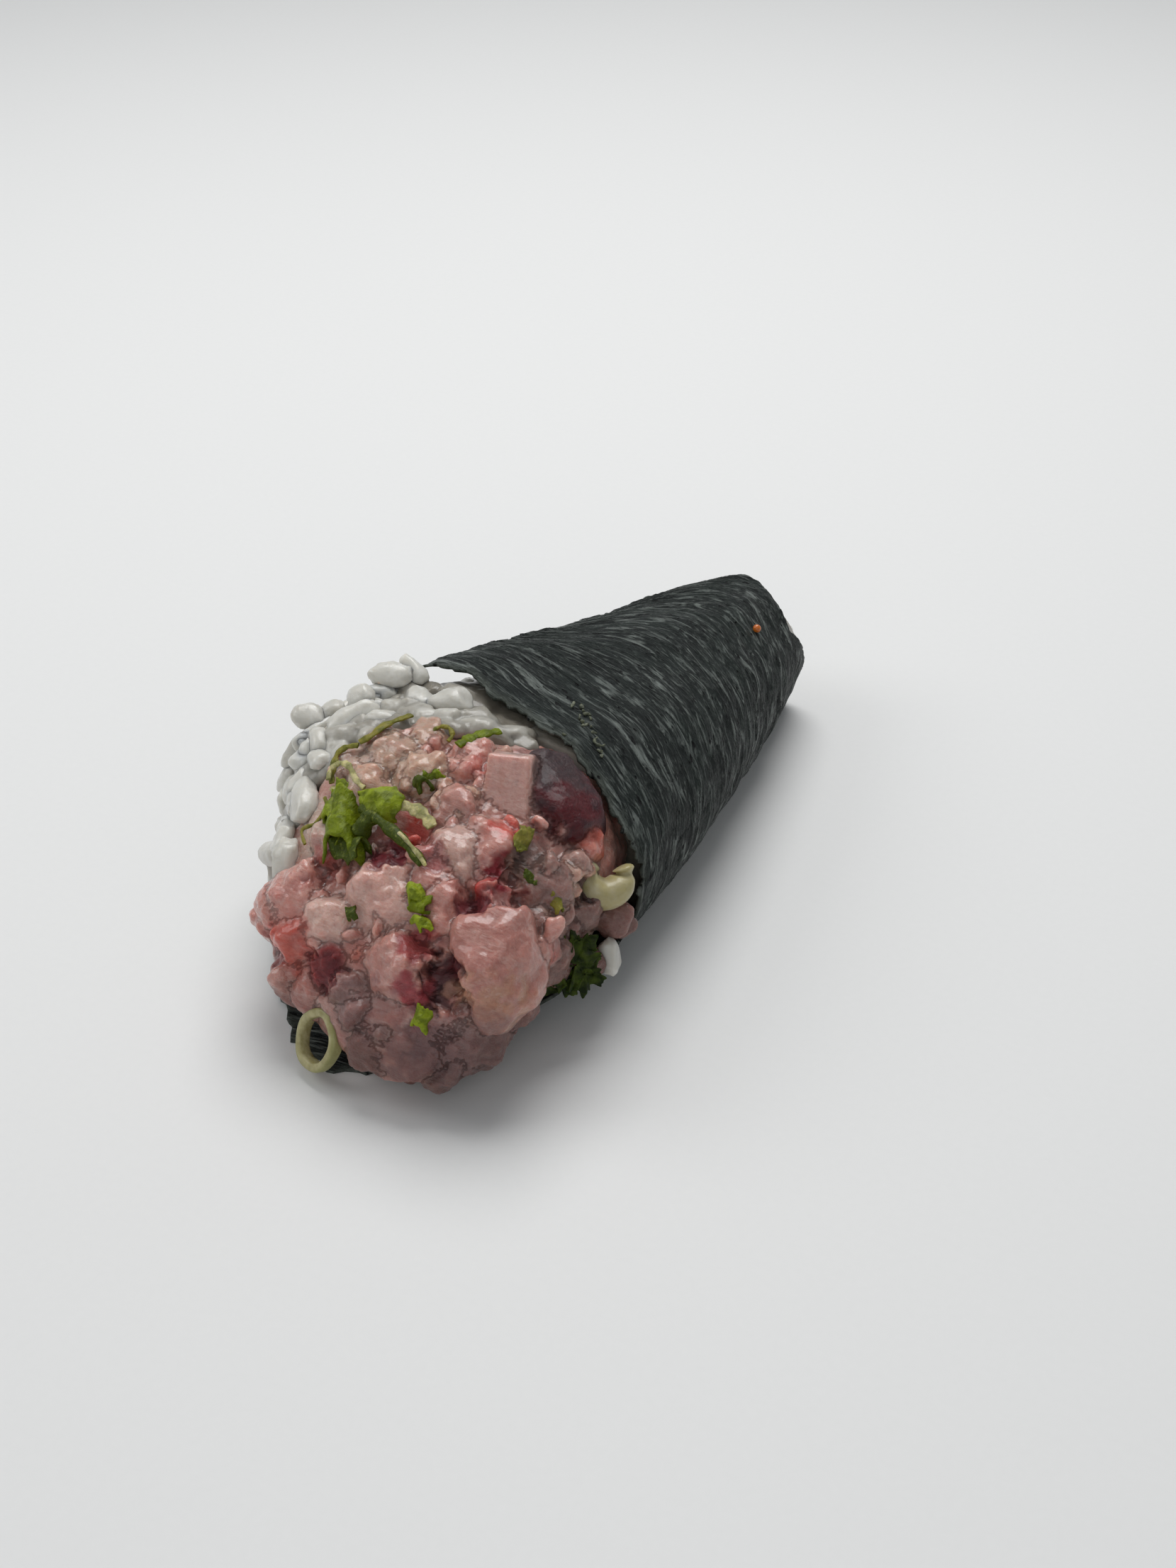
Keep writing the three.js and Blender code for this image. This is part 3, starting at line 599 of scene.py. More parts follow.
# Grains down the rim beside the fish, each between two places on the heap.
rim = [
    [(-50.4, 232), (-56.2, 226.5), 3.6], [(-59, 231), (-63.4, 235), 3.3], [(-56.6, 239), (-59.6, 243), 3],
    [(-48.4, 238), (-51.6, 243), 3]]
for start, end, width in rim:
    whole.append(lay_grain(heap_point(*start, -0.5), heap_point(*end, -0.5), width))
stray_grain = lay_grain((24.7, -43.7, 7.2), (24.0, -44.2, 11.8), 3.6)
whole.append(stray_grain)
ball, ball_faces = round_ball(4)
back_swell = ball * (7.4, 10.2, 6.2) + (-16.5, -34, 23.0)
top_swell = ball * (9.2, 8.2, 5.0) + (-9, -28, 24.6)
heap_core = closed_tube(np.linspace(-73.5, -26, 50), np.arange(0, 360, 4.0), rice_skin)
swells = [(back_swell, ball_faces), (top_swell, ball_faces)]
bed = Clump([heap_core, *swells, *[(grain, grain_faces) for grain in sticky]], rice_cell, 1)
bed.swell(0.12 * rough(bed.points, 1.3, 2))


def held_by_sheet(points, gap):
    """Points, with those that would come through the sheet pressed back inside it."""
    half_width, height = cone_size(points[:, 1])
    middle = height / 2 - pressed_flat
    across, up = points[:, 0] / half_width, 2 * (points[:, 2] - middle) / height
    far = (np.abs(across) ** cone_squareness + np.abs(up) ** cone_squareness) ** (1 / cone_squareness)
    unbent = 2 / (cone_squareness / 2)
    angle = np.degrees(np.arctan2(bent(across / far, unbent), -bent(up / far, unbent)))
    wrap = (angle - wrap_start) % 360
    edge = np.interp(wrap, *mouth_edge.T)
    tucked = tucked_depth * (1 - eased(wrap, 30, 80))
    most = 1 - (gap + tucked) / (0.5 * half_width + 0.25 * height)
    squeeze = 1 - eased(points[:, 1] - edge, -1.5, 1.0) * (1 - most / np.maximum(far, most))
    up = np.maximum(middle + (points[:, 2] - middle) * squeeze, 0.5)
    return np.stack([points[:, 0] * squeeze, points[:, 1], up], -1)


def lie_on(points, spot, out, twist, tilt=0.0):
    """Turns a grain to lie at a spot on a surface that faces out."""
    out = Vector(out).normalized()
    side = out.cross(Vector((0, 1, 0))).normalized()
    turn = Matrix.Rotation(math.radians(twist), 3, "Z") @ Matrix.Rotation(math.radians(tilt), 3, "X")
    axes = Matrix((side, out.cross(side), out)).transposed() @ turn
    return points @ np.array(axes).T + spot


bed.points = held_by_sheet(bed.points, 0.8)
bed_places = lookup_of(bed.points)
# Whole grains all over the back of the heap, where neither fish nor nori covers it.
laid = [heap_point((start[0] + end[0]) / 2, (start[1] + end[1]) / 2) for start, end, _ in rim]
for i in range(2600):
    along_share, across_share = scatter(i)
    station = -69 + 44 * along_share
    angle = 214 + 94 * across_share
    nearest = bed_places.find(heap_point(station, angle, 3.0))[1]
    spot, out = bed.points[nearest], bed.normals[nearest]
    covered = station > np.interp(angle - wrap_start, *mouth_edge.T) - 0.5 or in_fish(spot) > -0.3
    in_view = angle < 236 and (spot[0] > -15 or spot[1] < -36)
    if covered or in_view or spot[2] < 3.0 or min(np.linalg.norm(spot - near) for near in laid) < grain_gap:
        continue
    laid.append(spot)
    grain = rice_grain(draw.uniform(5.2, 6.3), draw.uniform(2.9, 3.4))
    spot = spot + (draw.uniform(-0.5, 0.4) - 0.9 * eased(-spot[1], 42, 48)) * out
    whole.append(lie_on(grain, spot, out, draw.uniform(0, 180), draw.uniform(-12, 12)))
# Grains of the lining that show under the lifted corner of the sheet.
for i in range(90):
    along_share, across_share = scatter(i)
    y, angle = -29 + 24 * along_share, 192 + 48 * across_share
    spot = cone_point(angle, y, -2.1)
    edge = np.interp(angle - wrap_start, *mouth_edge.T)
    if y > edge + 0.5 or min(np.linalg.norm(spot - near) for near in laid) < grain_gap:
        continue
    laid.append(spot)
    out = cone_point(angle, y, 1.0) - cone_point(angle, y)
    whole.append(lie_on(rice_grain(), spot, out, draw.uniform(0, 180)))
# Grains that fill the open tail, in rings from the wall inward: how many and how deep.
tail_rings = [(14, 2.5), (10, 5.0), (6, 7.6), (2, 9.4)]
for count, depth in tail_rings:
    for i in range(count):
        angle = 360 * (i + draw.uniform(-0.2, 0.2)) / count
        y = tail_y - 4.4 + draw.uniform(-0.5, 0.5)
        twist, tilt = 90 + draw.uniform(-30, 30), draw.uniform(-15, 15)
        out = cone_point(angle, y, 1.0) - cone_point(angle, y)
        grain = rice_grain(draw.uniform(5, 6), 3.2)
        whole.append(lie_on(grain, cone_point(angle, y, -depth), out, twist, tilt))
rice_bed = make_piece("rice_bed", bed.points, bed.faces, "rice", "sushi_rice")
# Grains of the bed are toned greyer than the whole grains on top: partly their see-through grey, partly
# painted shade between and under the whole grains.
tones = np.concatenate([[0.0] * (1 + len(swells)), draw.uniform(0.0, 0.6, len(sticky))])
keep_number(rice_bed, "own_tone", relaxed(tones[bed.nearest], bed.edges, 2)[:, 0])
# Painted shade: the bed is darkened under the lifted corner of the sheet and in the hollows between its
# grains.
flap_shadow = 0.8 * eased(bed.points[:, 1], -36, -30)
keep_number(rice_bed, "dip", np.maximum(eased(bed.hollow(14), 0.05, 0.4), flap_shadow))
points, faces = closed_tube(np.linspace(-30, 34.2, 30), np.arange(0, 360, 3.0), lining_skin)
rice_lining = make_piece("rice_lining", points, faces, "rice", "sushi_rice")
# The lining, shut in under the sheet, is toned grey and darkened all over, partly as painted shade.
keep_number(rice_lining, "own_tone", 0.2 + 0 * points[:, 0])
keep_number(rice_lining, "dip", 0.8 + 0 * points[:, 0])
points, faces, owners = join_parts([(grain, grain_faces) for grain in whole])
points = held_by_sheet(points, 0.7)
rice_grains = make_piece("rice_grains", points, faces, "rice", "sushi_rice")
keep_number(rice_grains, "own_tone", draw.uniform(0.7, 1.0, len(whole))[owners])
keep_number(rice_grains, "dip", 0 * points[:, 0])

# The bed's grey is partly painted shade.
bed_grey_and_shade, rice_white, chalk_white = (0.27, 0.25, 0.21), (0.65, 0.635, 0.58), (0.80, 0.79, 0.75)
gap_shade_dye = (0.44, 0.41, 0.36)
cooked = Finish(
    "cooked_rice", IOR=1.38, Subsurface_Weight=0.85, Subsurface_Radius=(1.0, 0.92, 0.82),
    Subsurface_Scale=1.6 * mm, Coat_Weight=0.45, Coat_Roughness=0.15)
chalk = cooked.clouds(cooked.place(), 420, 3.0)
dimples = cooked.clouds(cooked.place(), 1300, 3.0)
tone = cooked.kept("own_tone")
shade = cooked.blend(tone, bed_grey_and_shade, rice_white)
shade = cooked.blend(chalk.between(0.5, 0.72) * 0.6 * tone, shade, chalk_white)
# Painted shade where the rice lies in hollows or under the sheet.
shade = cooked.tint(cooked.kept("dip") * 0.7, shade, gap_shade_dye)
relief = cooked.relief(dimples, 0.1)
for piece in (rice_bed, rice_lining, rice_grains):
    cooked.put_on(piece, Base_Color=shade, Roughness=0.28 + 0.2 * dimples.between(0.3, 0.7), Normal=relief)


# ---- Chopped fish --------------------------------------------------------------------------
# Raw white fish, chopped by hand: soft wet pieces from a mince up to 17 mm chunks, pale pink and
# slightly see-through, with red and dark red patches where the flesh ran near the bloodline.
# The pieces cling together in a heap that spills out of the mouth onto the tongue of nori.
# The clear shade is the see-through flesh of the lower pieces, toned darker partly as painted shade.
pale, pink, salmon = (0.62, 0.40, 0.345), (0.56, 0.28, 0.235), (0.56, 0.16, 0.11)
red, maroon, clear_and_shaded, beige = (0.40, 0.05, 0.04), (0.05, 0.014, 0.019), (0.27, 0.155, 0.135), (0.53, 0.34, 0.25)
smooth_cut, muscle_cut, cube_cut = 0.0, 0.5, 1.0
fish_cell = 0.315
# Each: station, angle, length, width, height, twist, boxiness, shade and redness.
chunks = [
    [-39, 140, 15, 11, 7.5, 60, muscle_cut, maroon, 0.5],
    [-41, 116, 4.8, 4.4, 4.2, 10, 0.2, salmon, 0.5],
    [-56.3, 161, 10.5, 9, 9, 60, 0.12, pale, 0.2],
    [-52.6, 152, 9.5, 8, 8, 20, 0.12, pink, 0.3],
    [-61.8, 157.5, 10, 5.8, 6.5, 25, 0.12, pink, 0.35],
    [-62.8, 116, 16, 11.8, 9.2, 35, smooth_cut, pink, 0.05],
    [-46, 193, 9, 9, 6, 0, 0.15, beige, 0.1],
    [-47, 181, 9, 8, 6.5, 40, 0.1, beige, 0.15],
    [-50, 170, 8, 7, 6, 80, 0.15, pink, 0.2],
    [-42, 172, 8, 6, 6, 10, 0.15, pink, 0.35],
    [-52, 197, 7, 7, 5.5, 30, 0.1, beige, 0.1],
    [-65, 221, 10, 9, 9, 15, 0.15, pink, 0.45],
    [-69, 230, 8.5, 8.5, 8, 50, 0.15, salmon, 0.5],
    [-67.5, 201, 7.5, 6, 6.5, 70, 0.2, pale, 0.1],
    [-63.2, 182, 12.5, 10.5, 9, 35, 0.12, pale, 0.1],
    [-69, 167, 13, 10, 9.5, 60, 0.12, pink, 0.3],
    [-68, 86, 11, 8, 7, 0, 0.2, clear_and_shaded, 0.0],
    [-52, 121, 11, 8, 6.5, 45, 0.3, clear_and_shaded, 0.0],
    [-46, 92, 8, 7, 6, 0, 0.2, clear_and_shaded, 0.1],
    [-56.5, 106, 9, 8, 6, 70, 0.2, clear_and_shaded, 0.1],
    [-51, 139, 7.5, 6, 6, 0, 0.2, red, 0.5],
    [-58, 139, 8, 5.5, 6, 30, 0.2, red, 0.6],
    [-70.4, 213, 7, 6, 6, 0, 0.1, (0.24, 0.04, 0.04), 0.6],
    [-71.5, 202, 6, 5, 6, 40, 0.1, clear_and_shaded, 0.3],
    [-61, 86, 8, 7, 6, 60, 0.2, clear_and_shaded, 0.1],
    [-59, 203, 8, 7, 6, 20, 0.15, pink, 0.2],
    [-59, 168, 8, 7, 6, 75, 0.15, pink, 0.5],
    [-66, 240, 8, 7, 6, 30, 0.1, pink, 0.3],
    [-71, 262, 8, 7, 6, 0, 0.1, pink, 0.2],
    [-53, 84, 7, 6, 5, 40, 0.1, clear_and_shaded, 0.0],
    [-64, 66, 8, 7, 5, 20, 0.1, clear_and_shaded, 0.1],
    [-47, 112, 7, 6, 5.5, 20, 0.1, beige, 0.1],
    [-70, 60, 8, 6, 5, 50, 0.1, clear_and_shaded, 0.2],
    [-65, 264, 8, 7, 6, 70, 0.1, pink, 0.3],
    [-51.5, 110, 5.5, 4.5, 4, 40, 0.05, (0.36, 0.235, 0.18), 0.0],
    [-45.5, 114, 4.5, 4, 4.6, 0, 0.05, (0.40, 0.25, 0.215), 0.1],
    [-40.5, 187, 7.5, 5.5, 3.4, 30, 0.1, beige, 0.1],
    [-44.5, 198, 7, 5.5, 3.4, 60, 0.1, beige, 0.1],
    [-48.5, 206, 6.5, 5, 3.4, 20, 0.1, beige, 0.1],
]
# Pieces that stand free of the slope: middle, length, width, height, heading, tilt and the rest.
standing_chunks = [
    [(8.9, -43.2, 29.2), 6.5, 5.8, 10.8, 22, -29, cube_cut, pale, 0.0],
    [(7.4, -72.6, 6.6), 5.8, 5.2, 6.2, 0, 0, 0.1, clear_and_shaded, 0.1],
    [(4.4, -71, 11.4), 5.4, 4.8, 5.6, 40, 0, 0.1, clear_and_shaded, 0.15],
    [(22.6, -46.4, 9.6), 4.6, 4, 4.6, 0, 0, smooth_cut, clear_and_shaded, 0.0],
    [(23.4, -41.6, 13.4), 5.6, 5, 4.8, 20, 0, 0.15, clear_and_shaded, 0.1],
    [(22.8, -38.6, 11.2), 5, 4.8, 5, 60, 0, 0.15, clear_and_shaded, 0.2],
    [(15, -65.8, 7.4), 13, 9.4, 8.6, 15, 0, 0.2, clear_and_shaded, 0.15],
    [(11, -69.3, 4.4), 6, 5, 5, 70, 0, 0.1, clear_and_shaded, 0.2],
    [(9, -70.6, 9), 7.6, 5.6, 5.8, 60, 0, 0.15, clear_and_shaded, 0.4],
    [(-7.4, -68.2, 9.8), 8.6, 7.6, 7.6, 30, 0, 0.15, pink, 0.4],
]
small_ball, small_ball_faces = round_ball(3)
draw = np.random.default_rng(21)


def chopped_chunk(sphere, length, width, height, boxiness):
    """A soft chunk with knife cuts across it, squarer the higher its boxiness."""
    cube = 0.86 * sphere / np.abs(sphere).max(1, keepdims=True)
    half = np.array([length, width, height]) / 2
    points = (sphere + boxiness * (cube - sphere)) * half * (1.02 + 0.06 * boxiness)
    for _ in range(5 if smooth_cut < boxiness < cube_cut else 0):
        cut = draw.normal(size=3)
        cut /= np.linalg.norm(cut)
        reach = points @ cut
        limit = draw.uniform(0.66, 0.9) * reach.max()
        points = points - 0.8 * np.maximum(reach - limit, 0)[:, None] * cut
    if boxiness == smooth_cut:
        points = points * (1 + sphere[:, :1] * (0, 0.24, 0.1))
    seed = draw.uniform(0, 100, 3)
    uneven = (0.17 - 0.13 * boxiness) * height * rough(points + seed, height * 0.6, 3)
    return points + sphere * uneven[:, None]


class FleshHeap:
    """The pieces of fish as they are laid: shapes, colours, how red each runs and how torn it is."""

    def __init__(self):
        self.parts = []
        self.shades = []
        self.redness = []
        self.torn = []

    def add(self, points, faces, shade, redness, torn):
        self.parts.append((points, faces))
        self.shades.append(shade)
        self.redness.append(redness)
        self.torn.append(torn)


heap = FleshHeap()
for station, angle, length, width, height, twist, boxiness, shade, redness in chunks:
    points = chopped_chunk(ball, length, width, height, boxiness)
    coarse = 1.0 if station > -53 and angle > 160 else 0.7
    torn = {smooth_cut: 0.4, muscle_cut: 0.35}.get(boxiness, coarse)
    proud = (-0.14 if boxiness == smooth_cut else -0.33) * height
    heap.add(lay_on_heap(points, station, angle, proud, twist), ball_faces, shade, redness, torn)
for middle, length, width, height, heading, tilt, boxiness, shade, redness in standing_chunks:
    turn = Matrix.Rotation(math.radians(heading), 3, "Z") @ Matrix.Rotation(math.radians(tilt), 3, "X")
    points = chopped_chunk(ball, length, width, height, boxiness)
    torn = 0.1 if boxiness == cube_cut else 0.5
    heap.add(points @ np.array(turn).T + middle, ball_faces, shade, redness, torn)


def fish_skin(y, angle):
    """Inside of the chopped fish, lumpy, and sunk away where the rice takes over."""
    bare = heap_point(y, angle)
    inside = eased(in_fish(bare), -0.8, 0.8) * np.where(y > -60, eased(bare[..., 2], 4.5, 6.5), 1)
    lumps = 0.7 * rough(bare, 3.4, 2)
    skin = heap_point(y, angle, -1.5 - 4.5 * (1 - inside) + lumps)
    low = np.interp(y, heap_rows[:, 0], heap_rows[:, 3])
    skin[..., 2] = np.maximum(skin[..., 2], low)
    return skin


heap_core = closed_tube(np.linspace(-74.5, -30, 90), np.arange(0, 360, 3.0), fish_skin)
heap.add(*heap_core, pink, 0.5, 0.4)
# Small bits all over the heap, but not on the rim's grains, the onion ring or these clean faces.
ring_middle = (-0.5, -73, 7.2)
kept_clear = [(place, 4.6) for place in (*laid[:len(rim)], ring_middle)]
kept_clear += [(heap_point(-62.8, 116), 8.6), (heap_point(-67.8, 140), 3.6), (heap_point(-72.5, 136), 6.5)]
mince_shades = (beige, beige, pink, pale)
right_shades = (clear_and_shaded, clear_and_shaded, beige, clear_and_shaded)
front_shades = (pink, pale, salmon, pink)
for i in range(520):
    along_share, across_share = scatter(i)
    station = -74 + 42 * along_share
    angle = 60 + 215 * across_share
    spot = heap_point(station, angle)
    minced = station > -52 and 160 < angle < 238
    between = not minced and angle > 105
    every = 1 if minced else 3 if between else 2
    crowded = any(np.linalg.norm(spot - place) < reach for place, reach in kept_clear)
    under_nori = station > (-41 if angle < 150 else -37.5)
    if crowded or under_nori or in_fish(spot) < (1.6 if minced else 2.0) or i % every:
        continue
    size = draw.uniform(1.6, 3.0) if minced or between else draw.uniform(2.2, 5.0)
    narrow = draw.uniform(0.35, 0.6) if between else draw.uniform(0.5, 0.9)
    points = chopped_chunk(small_ball, size, size * narrow, size * 0.6, draw.uniform(0.1, 0.3))
    deep, shallow = (-0.9, -0.1) if minced else (-1.1, -0.1) if between else (-2.4, -1.0)
    sunk = draw.uniform(deep, shallow)
    lying = lay_on_heap(points, station, angle, sunk, draw.uniform(0, 180), draw.uniform(-35, 35))
    shades = mince_shades if minced else right_shades if angle < 112 else front_shades
    redness = draw.uniform(0, 0.3 if minced else 0.6)
    heap.add(lying, small_ball_faces, shades[i // 2 % 4], redness, 1.0 if minced else 0.5)
# Shreds of flesh that the knife left hanging: station, angle, length, twist and height.
hanging = [
    [-57, 104, 4.2, 70, 0.8], [-60, 100, 4.4, 110, 0.5], [-62.6, 98, 4.4, 60, 0.5],
    [-55, 110, 3.5, 40, 1.8], [-50, 128, 4, 20, 1.2], [-58, 172, 4, 120, 0.8],
]
for station, angle, length, twist, height in hanging:
    points = chopped_chunk(small_ball, length, 2.8, 2.0, 0.25)
    heap.add(lay_on_heap(points, station, angle, height, twist, 20), small_ball_faces, pink, 0.3, 0.7)

flesh = Clump(heap.parts, fish_cell, 5)
seeds = draw.uniform(0, 60, (len(heap.parts), 3))
# Each chunk's relief and grain start at a place of their own, so that they don't run on.
own_place = flesh.points + seeds[flesh.nearest]
torn = relaxed(np.array(heap.torn)[flesh.nearest], flesh.edges, 6)[:, 0]
dip = relaxed(flesh.hollow(30), flesh.edges, 12)[:, 0]
beaded = np.abs(rough(own_place, 2.3, 2))
crumbly = np.abs(rough(flesh.points + 50, 1.15, 2))
fresher = draw.uniform(0.86, 1.12, len(heap.parts))
redder = draw.uniform(0.88, 1.04, len(heap.parts))
uneven = np.stack([fresher, fresher * redder, fresher * redder * 0.98], -1)
shades = relaxed((np.array(heap.shades) * uneven)[flesh.nearest], flesh.edges, 6)
# Stains where blood or dark muscle shows, and patches of painted shade in hollows, in gaps and low on
# the heap: station, angle, reach, shade, strength and how far the flesh sinks in there.
stains_and_shade = [
    [-54.6, 144.5, 2.2, (0.28, 0.02, 0.03), 1.0, 0.5],
    [-57, 135.5, 2.4, (0.24, 0.02, 0.03), 1.0, 0.8],
    [-43.6, 167, 2.0, (0.52, 0.14, 0.11), 0.8, 0],
    [-50, 148.5, 2.4, (0.58, 0.08, 0.055), 0.9, 0],
    [-55.3, 178, 3.0, (0.46, 0.06, 0.04), 1.0, 0],
    [-59.4, 181.5, 3.0, (0.17, 0.02, 0.028), 1.0, 0.8],
    [-68.7, 230, 4.2, (0.56, 0.10, 0.065), 0.85, 0],
    [-70.7, 214, 2.8, (0.16, 0.02, 0.025), 0.95, 0.9],
    [-68.6, 259, 2.6, (0.26, 0.035, 0.04), 0.8, 0.4],
    [-69, 282, 4.0, (0.28, 0.14, 0.125), 0.7, 0],
    [-70.3, 222.5, 2.2, (0.24, 0.04, 0.04), 0.8, 0],
    [-65.8, 222, 3.4, (0.66, 0.36, 0.31), 0.6, 0],
    [-66.2, 160, 2.6, (0.34, 0.05, 0.055), 0.9, 0.2],
    # Partly dark red flesh, partly painted shadow where the big chunk stands over the hollow.
    [-67.8, 140, 3.8, (0.085, 0.014, 0.017), 1.0, 1.0],
    [-55.8, 101, 1.8, (0.58, 0.13, 0.09), 0.9, 0],
    [-40.4, 135, 4.4, (0.10, 0.006, 0.010), 0.9, 0],
    [-37.5, 149, 5.0, (0.05, 0.028, 0.03), 0.8, 0],
    [-62.2, 203, 2.6, (0.32, 0.06, 0.05), 0.8, 0.6],
    [-69.8, 157, 2.4, (0.32, 0.045, 0.06), 0.9, 0],
    [-53, 138, 2.2, (0.20, 0.14, 0.10), 0.7, 0.5],
    [-49, 135.5, 3.4, (0.24, 0.165, 0.15), 0.7, 0.3],
    [-65.8, 108, 5.0, (0.50, 0.26, 0.16), 0.8, 0],
    # Painted shade on the lower half of the big chunk.
    [-67.5, 100, 4.0, (0.30, 0.14, 0.11), 0.7, 0],
    # Painted shade on the top of the big chunk.
    [-58.4, 134, 4.0, (0.42, 0.21, 0.18), 0.7, 0],
    [-64, 256, 4.5, (0.56, 0.28, 0.24), 0.6, 0],
    [-68, 83, 6.0, (0.28, 0.17, 0.16), 0.7, 0],
    [-57.5, 169, 2.4, (0.40, 0.12, 0.12), 0.7, 0.5],
    [-57, 216, 5.5, (0.58, 0.46, 0.38), 0.8, 0],
    [-48.5, 210, 4.5, (0.56, 0.43, 0.36), 0.7, 0],
    # Painted shade in a dark gap.
    [-46.2, 104, 2.0, (0.05, 0.02, 0.02), 0.9, 1.2],
    [-60.2, 146, 2.0, (0.20, 0.03, 0.04), 0.9, 0.8],
    [-72, 128, 3.0, (0.17, 0.06, 0.075), 0.7, 0.5],
    # These three are painted shade low on the heap, at its front.
    [-73.5, 134, 5.0, (0.22, 0.12, 0.12), 0.7, 0],
    [-71, 110, 4.5, (0.30, 0.17, 0.16), 0.6, 0],
    [-72.5, 192, 4.4, (0.31, 0.175, 0.165), 0.6, 0],
    [-50, 133, 3.6, (0.20, 0.13, 0.11), 0.8, 0.2],
]
sinking = 0 * dip
for station, angle, reach, stain_and_shade_colour, strength, depth in stains_and_shade:
    away = np.linalg.norm(flesh.points - heap_point(station, angle), axis=1)
    edge = reach * (1 + 0.55 * rough(flesh.points + station, 2.0, 3)) - away
    share = strength * eased(edge, -0.25 * reach, 0.35 * reach)
    shades = shades + share[:, None] * (np.array(stain_and_shade_colour) - shades)
    sinking = sinking + share * depth
# Toward its foot the fish is painted darker, as painted shade, and its seams fade there and on the left.
x, y, z = flesh.points.T
foot_shade = 1 - 0.38 * eased(16 - z, 0, 10)
shades = shades * foot_shade[:, None]
seams = dip * (1 - 0.55 * np.maximum(eased(-x, 0, 8), eased(14 - z, 0, 7)))
# Where two chunks join, neither is beaded.
joined = flesh.nearest[flesh.edges[:, 0]] != flesh.nearest[flesh.edges[:, 1]]
joins = np.zeros(len(flesh.points))
joins[flesh.edges[joined].ravel()] = 1
apart = 1 - np.minimum(1.6 * relaxed(joins, flesh.edges, 8)[:, 0], 1)
crumbs = relaxed(torn * (0.75 * beaded * apart + 0.34 * crumbly), flesh.edges, 1)[:, 0]
flesh.swell(crumbs - 0.15 - sinking)
fish = make_piece("chopped_fish_heap", flesh.points, flesh.faces, "fish", "chopped_fish")
redness = relaxed(np.array(heap.redness)[flesh.nearest], flesh.edges, 5)[:, 0]
patches = eased(rough(own_place, 3.6, 2), 0.45 - 0.9 * redness, 0.75 - 0.9 * redness)
veined = eased(rough(flesh.points + 30, 9.0, 2), -0.3, 0.35)
pooled = 0.8 * eased(seams, 0.1, 0.7) * (0.15 + 0.85 * veined)
lightness = eased(shades.mean(1), 0.12, 0.3)
blood = np.maximum(0.8 * redness * patches, pooled) * lightness
crest = eased(-dip, 0.05, 0.6) * lightness
for name, values in (
        ("flesh_place", own_place), ("flesh_shade", shades), ("blood", blood),
        ("dip", eased(seams, 0.1, 0.9)), ("crest", crest), ("lightness", lightness)):
    keep_number(fish, name, values)

milky, deep_pink, sinew, crest_pale_and_light = (0.70, 0.51, 0.45), (0.38, 0.17, 0.15), (0.74, 0.58, 0.52), (0.74, 0.54, 0.48)
grain_dye, fibre_dye, seam_shade_dye = (0.72, 0.56, 0.54), (0.80, 0.66, 0.64), (0.55, 0.26, 0.25)
blood_red = (0.30, 0.035, 0.035)
raw = Finish(
    "raw_fish", IOR=1.36, Subsurface_Weight=0.85, Subsurface_Radius=(1.0, 0.5, 0.4),
    Subsurface_Scale=1.9 * mm, Coat_Roughness=0.13)
place = raw.kept("flesh_place", "Vector")
light = raw.kept("lightness")
blotches = raw.clouds(place, 0.35, 3.0)
fibres = raw.clouds(raw.stretch(place, 0.4, 1.8, 1.8), 1.0, 4.0, 0.6, 0.5)
threads = raw.clouds(raw.stretch(place, 0.22, 0.8, 0.8), 1.0, 2.0, 0.5, 1.2)
grainy = raw.clouds(place, 2.2, 4.0, 0.6)
shade = raw.kept("flesh_shade", "Color")
shade = raw.blend(blotches.between(0.5, 0.75) * 0.32 * light, shade, milky)
shade = raw.blend(blotches.between(0.48, 0.25) * 0.25 * light, shade, deep_pink)
shade = raw.blend(threads.between(0.55, 0.62) * 0.16 * light, shade, sinew)
shade = raw.tint(grainy.between(0.6, 0.35) * 0.3, shade, grain_dye)
shade = raw.tint(fibres.between(0.55, 0.35) * 0.4, shade, fibre_dye)
# Crests are painted paler: partly the paler thin edges of the flesh, partly painted light where they catch
# it.
shade = raw.blend(raw.kept("crest") * 0.35, shade, crest_pale_and_light)
shade = raw.blend(raw.kept("blood") * (0.4 + 0.5 * fibres), shade, blood_red)
# Painted shade in the seams between chunks.
shade = raw.tint(raw.kept("dip") * 0.52, shade, seam_shade_dye)
relief = raw.relief(blotches, 0.4)
relief = raw.relief(fibres, 0.22, relief)
relief = raw.relief(grainy, 0.17, relief)
wet = 0.28 + 0.22 * grainy.between(0.3, 0.7)
raw.put_on(fish, Base_Color=shade, Roughness=wet, Coat_Weight=0.15 + 0.65 * light, Normal=relief)


# ---- Spring onion: ring, white, green tops and shreds -----------------------------------------
# Sliced spring onion: a ring of the pale stalk, a split piece of the white, chopped green tops in
# a loose clump and thin shreds, with small bits between. They are crisp, moist and ribbed
# lengthways, and only stick to the filling.
ring_radius = 3.3
ring_narrow, ring_tall = 0.92, 1.12
ring_columns, ring_rows = 96, 24


def ring_points(u, v):
    """Round the stalk by u, and round its cut wall by v."""
    turn, section = u * 2 * np.pi, v * 2 * np.pi
    wall = 0.62 + 0.06 * np.sin(3 * turn)
    away = ring_radius + wall * bent(np.cos(section), 3)
    height = 0.95 * bent(np.sin(section), 3.4)
    wobble = 1 + 0.03 * np.sin(2 * turn + 1) + 0.02 * np.sin(5 * turn)
    across = ring_narrow * away * np.cos(turn) * wobble
    up = ring_tall * away * np.sin(turn) * wobble
    return np.stack([across, up, height], -1)


def wrapped_faces(columns, rows):
    """Faces of a surface that closes on itself both ways, like a ring."""
    at = np.arange(columns * rows).reshape(rows, columns)
    ahead = np.roll(at, -1, 1)
    return np.stack([at, ahead, np.roll(ahead, -1, 0), np.roll(at, -1, 0)], -1).reshape(-1, 4)


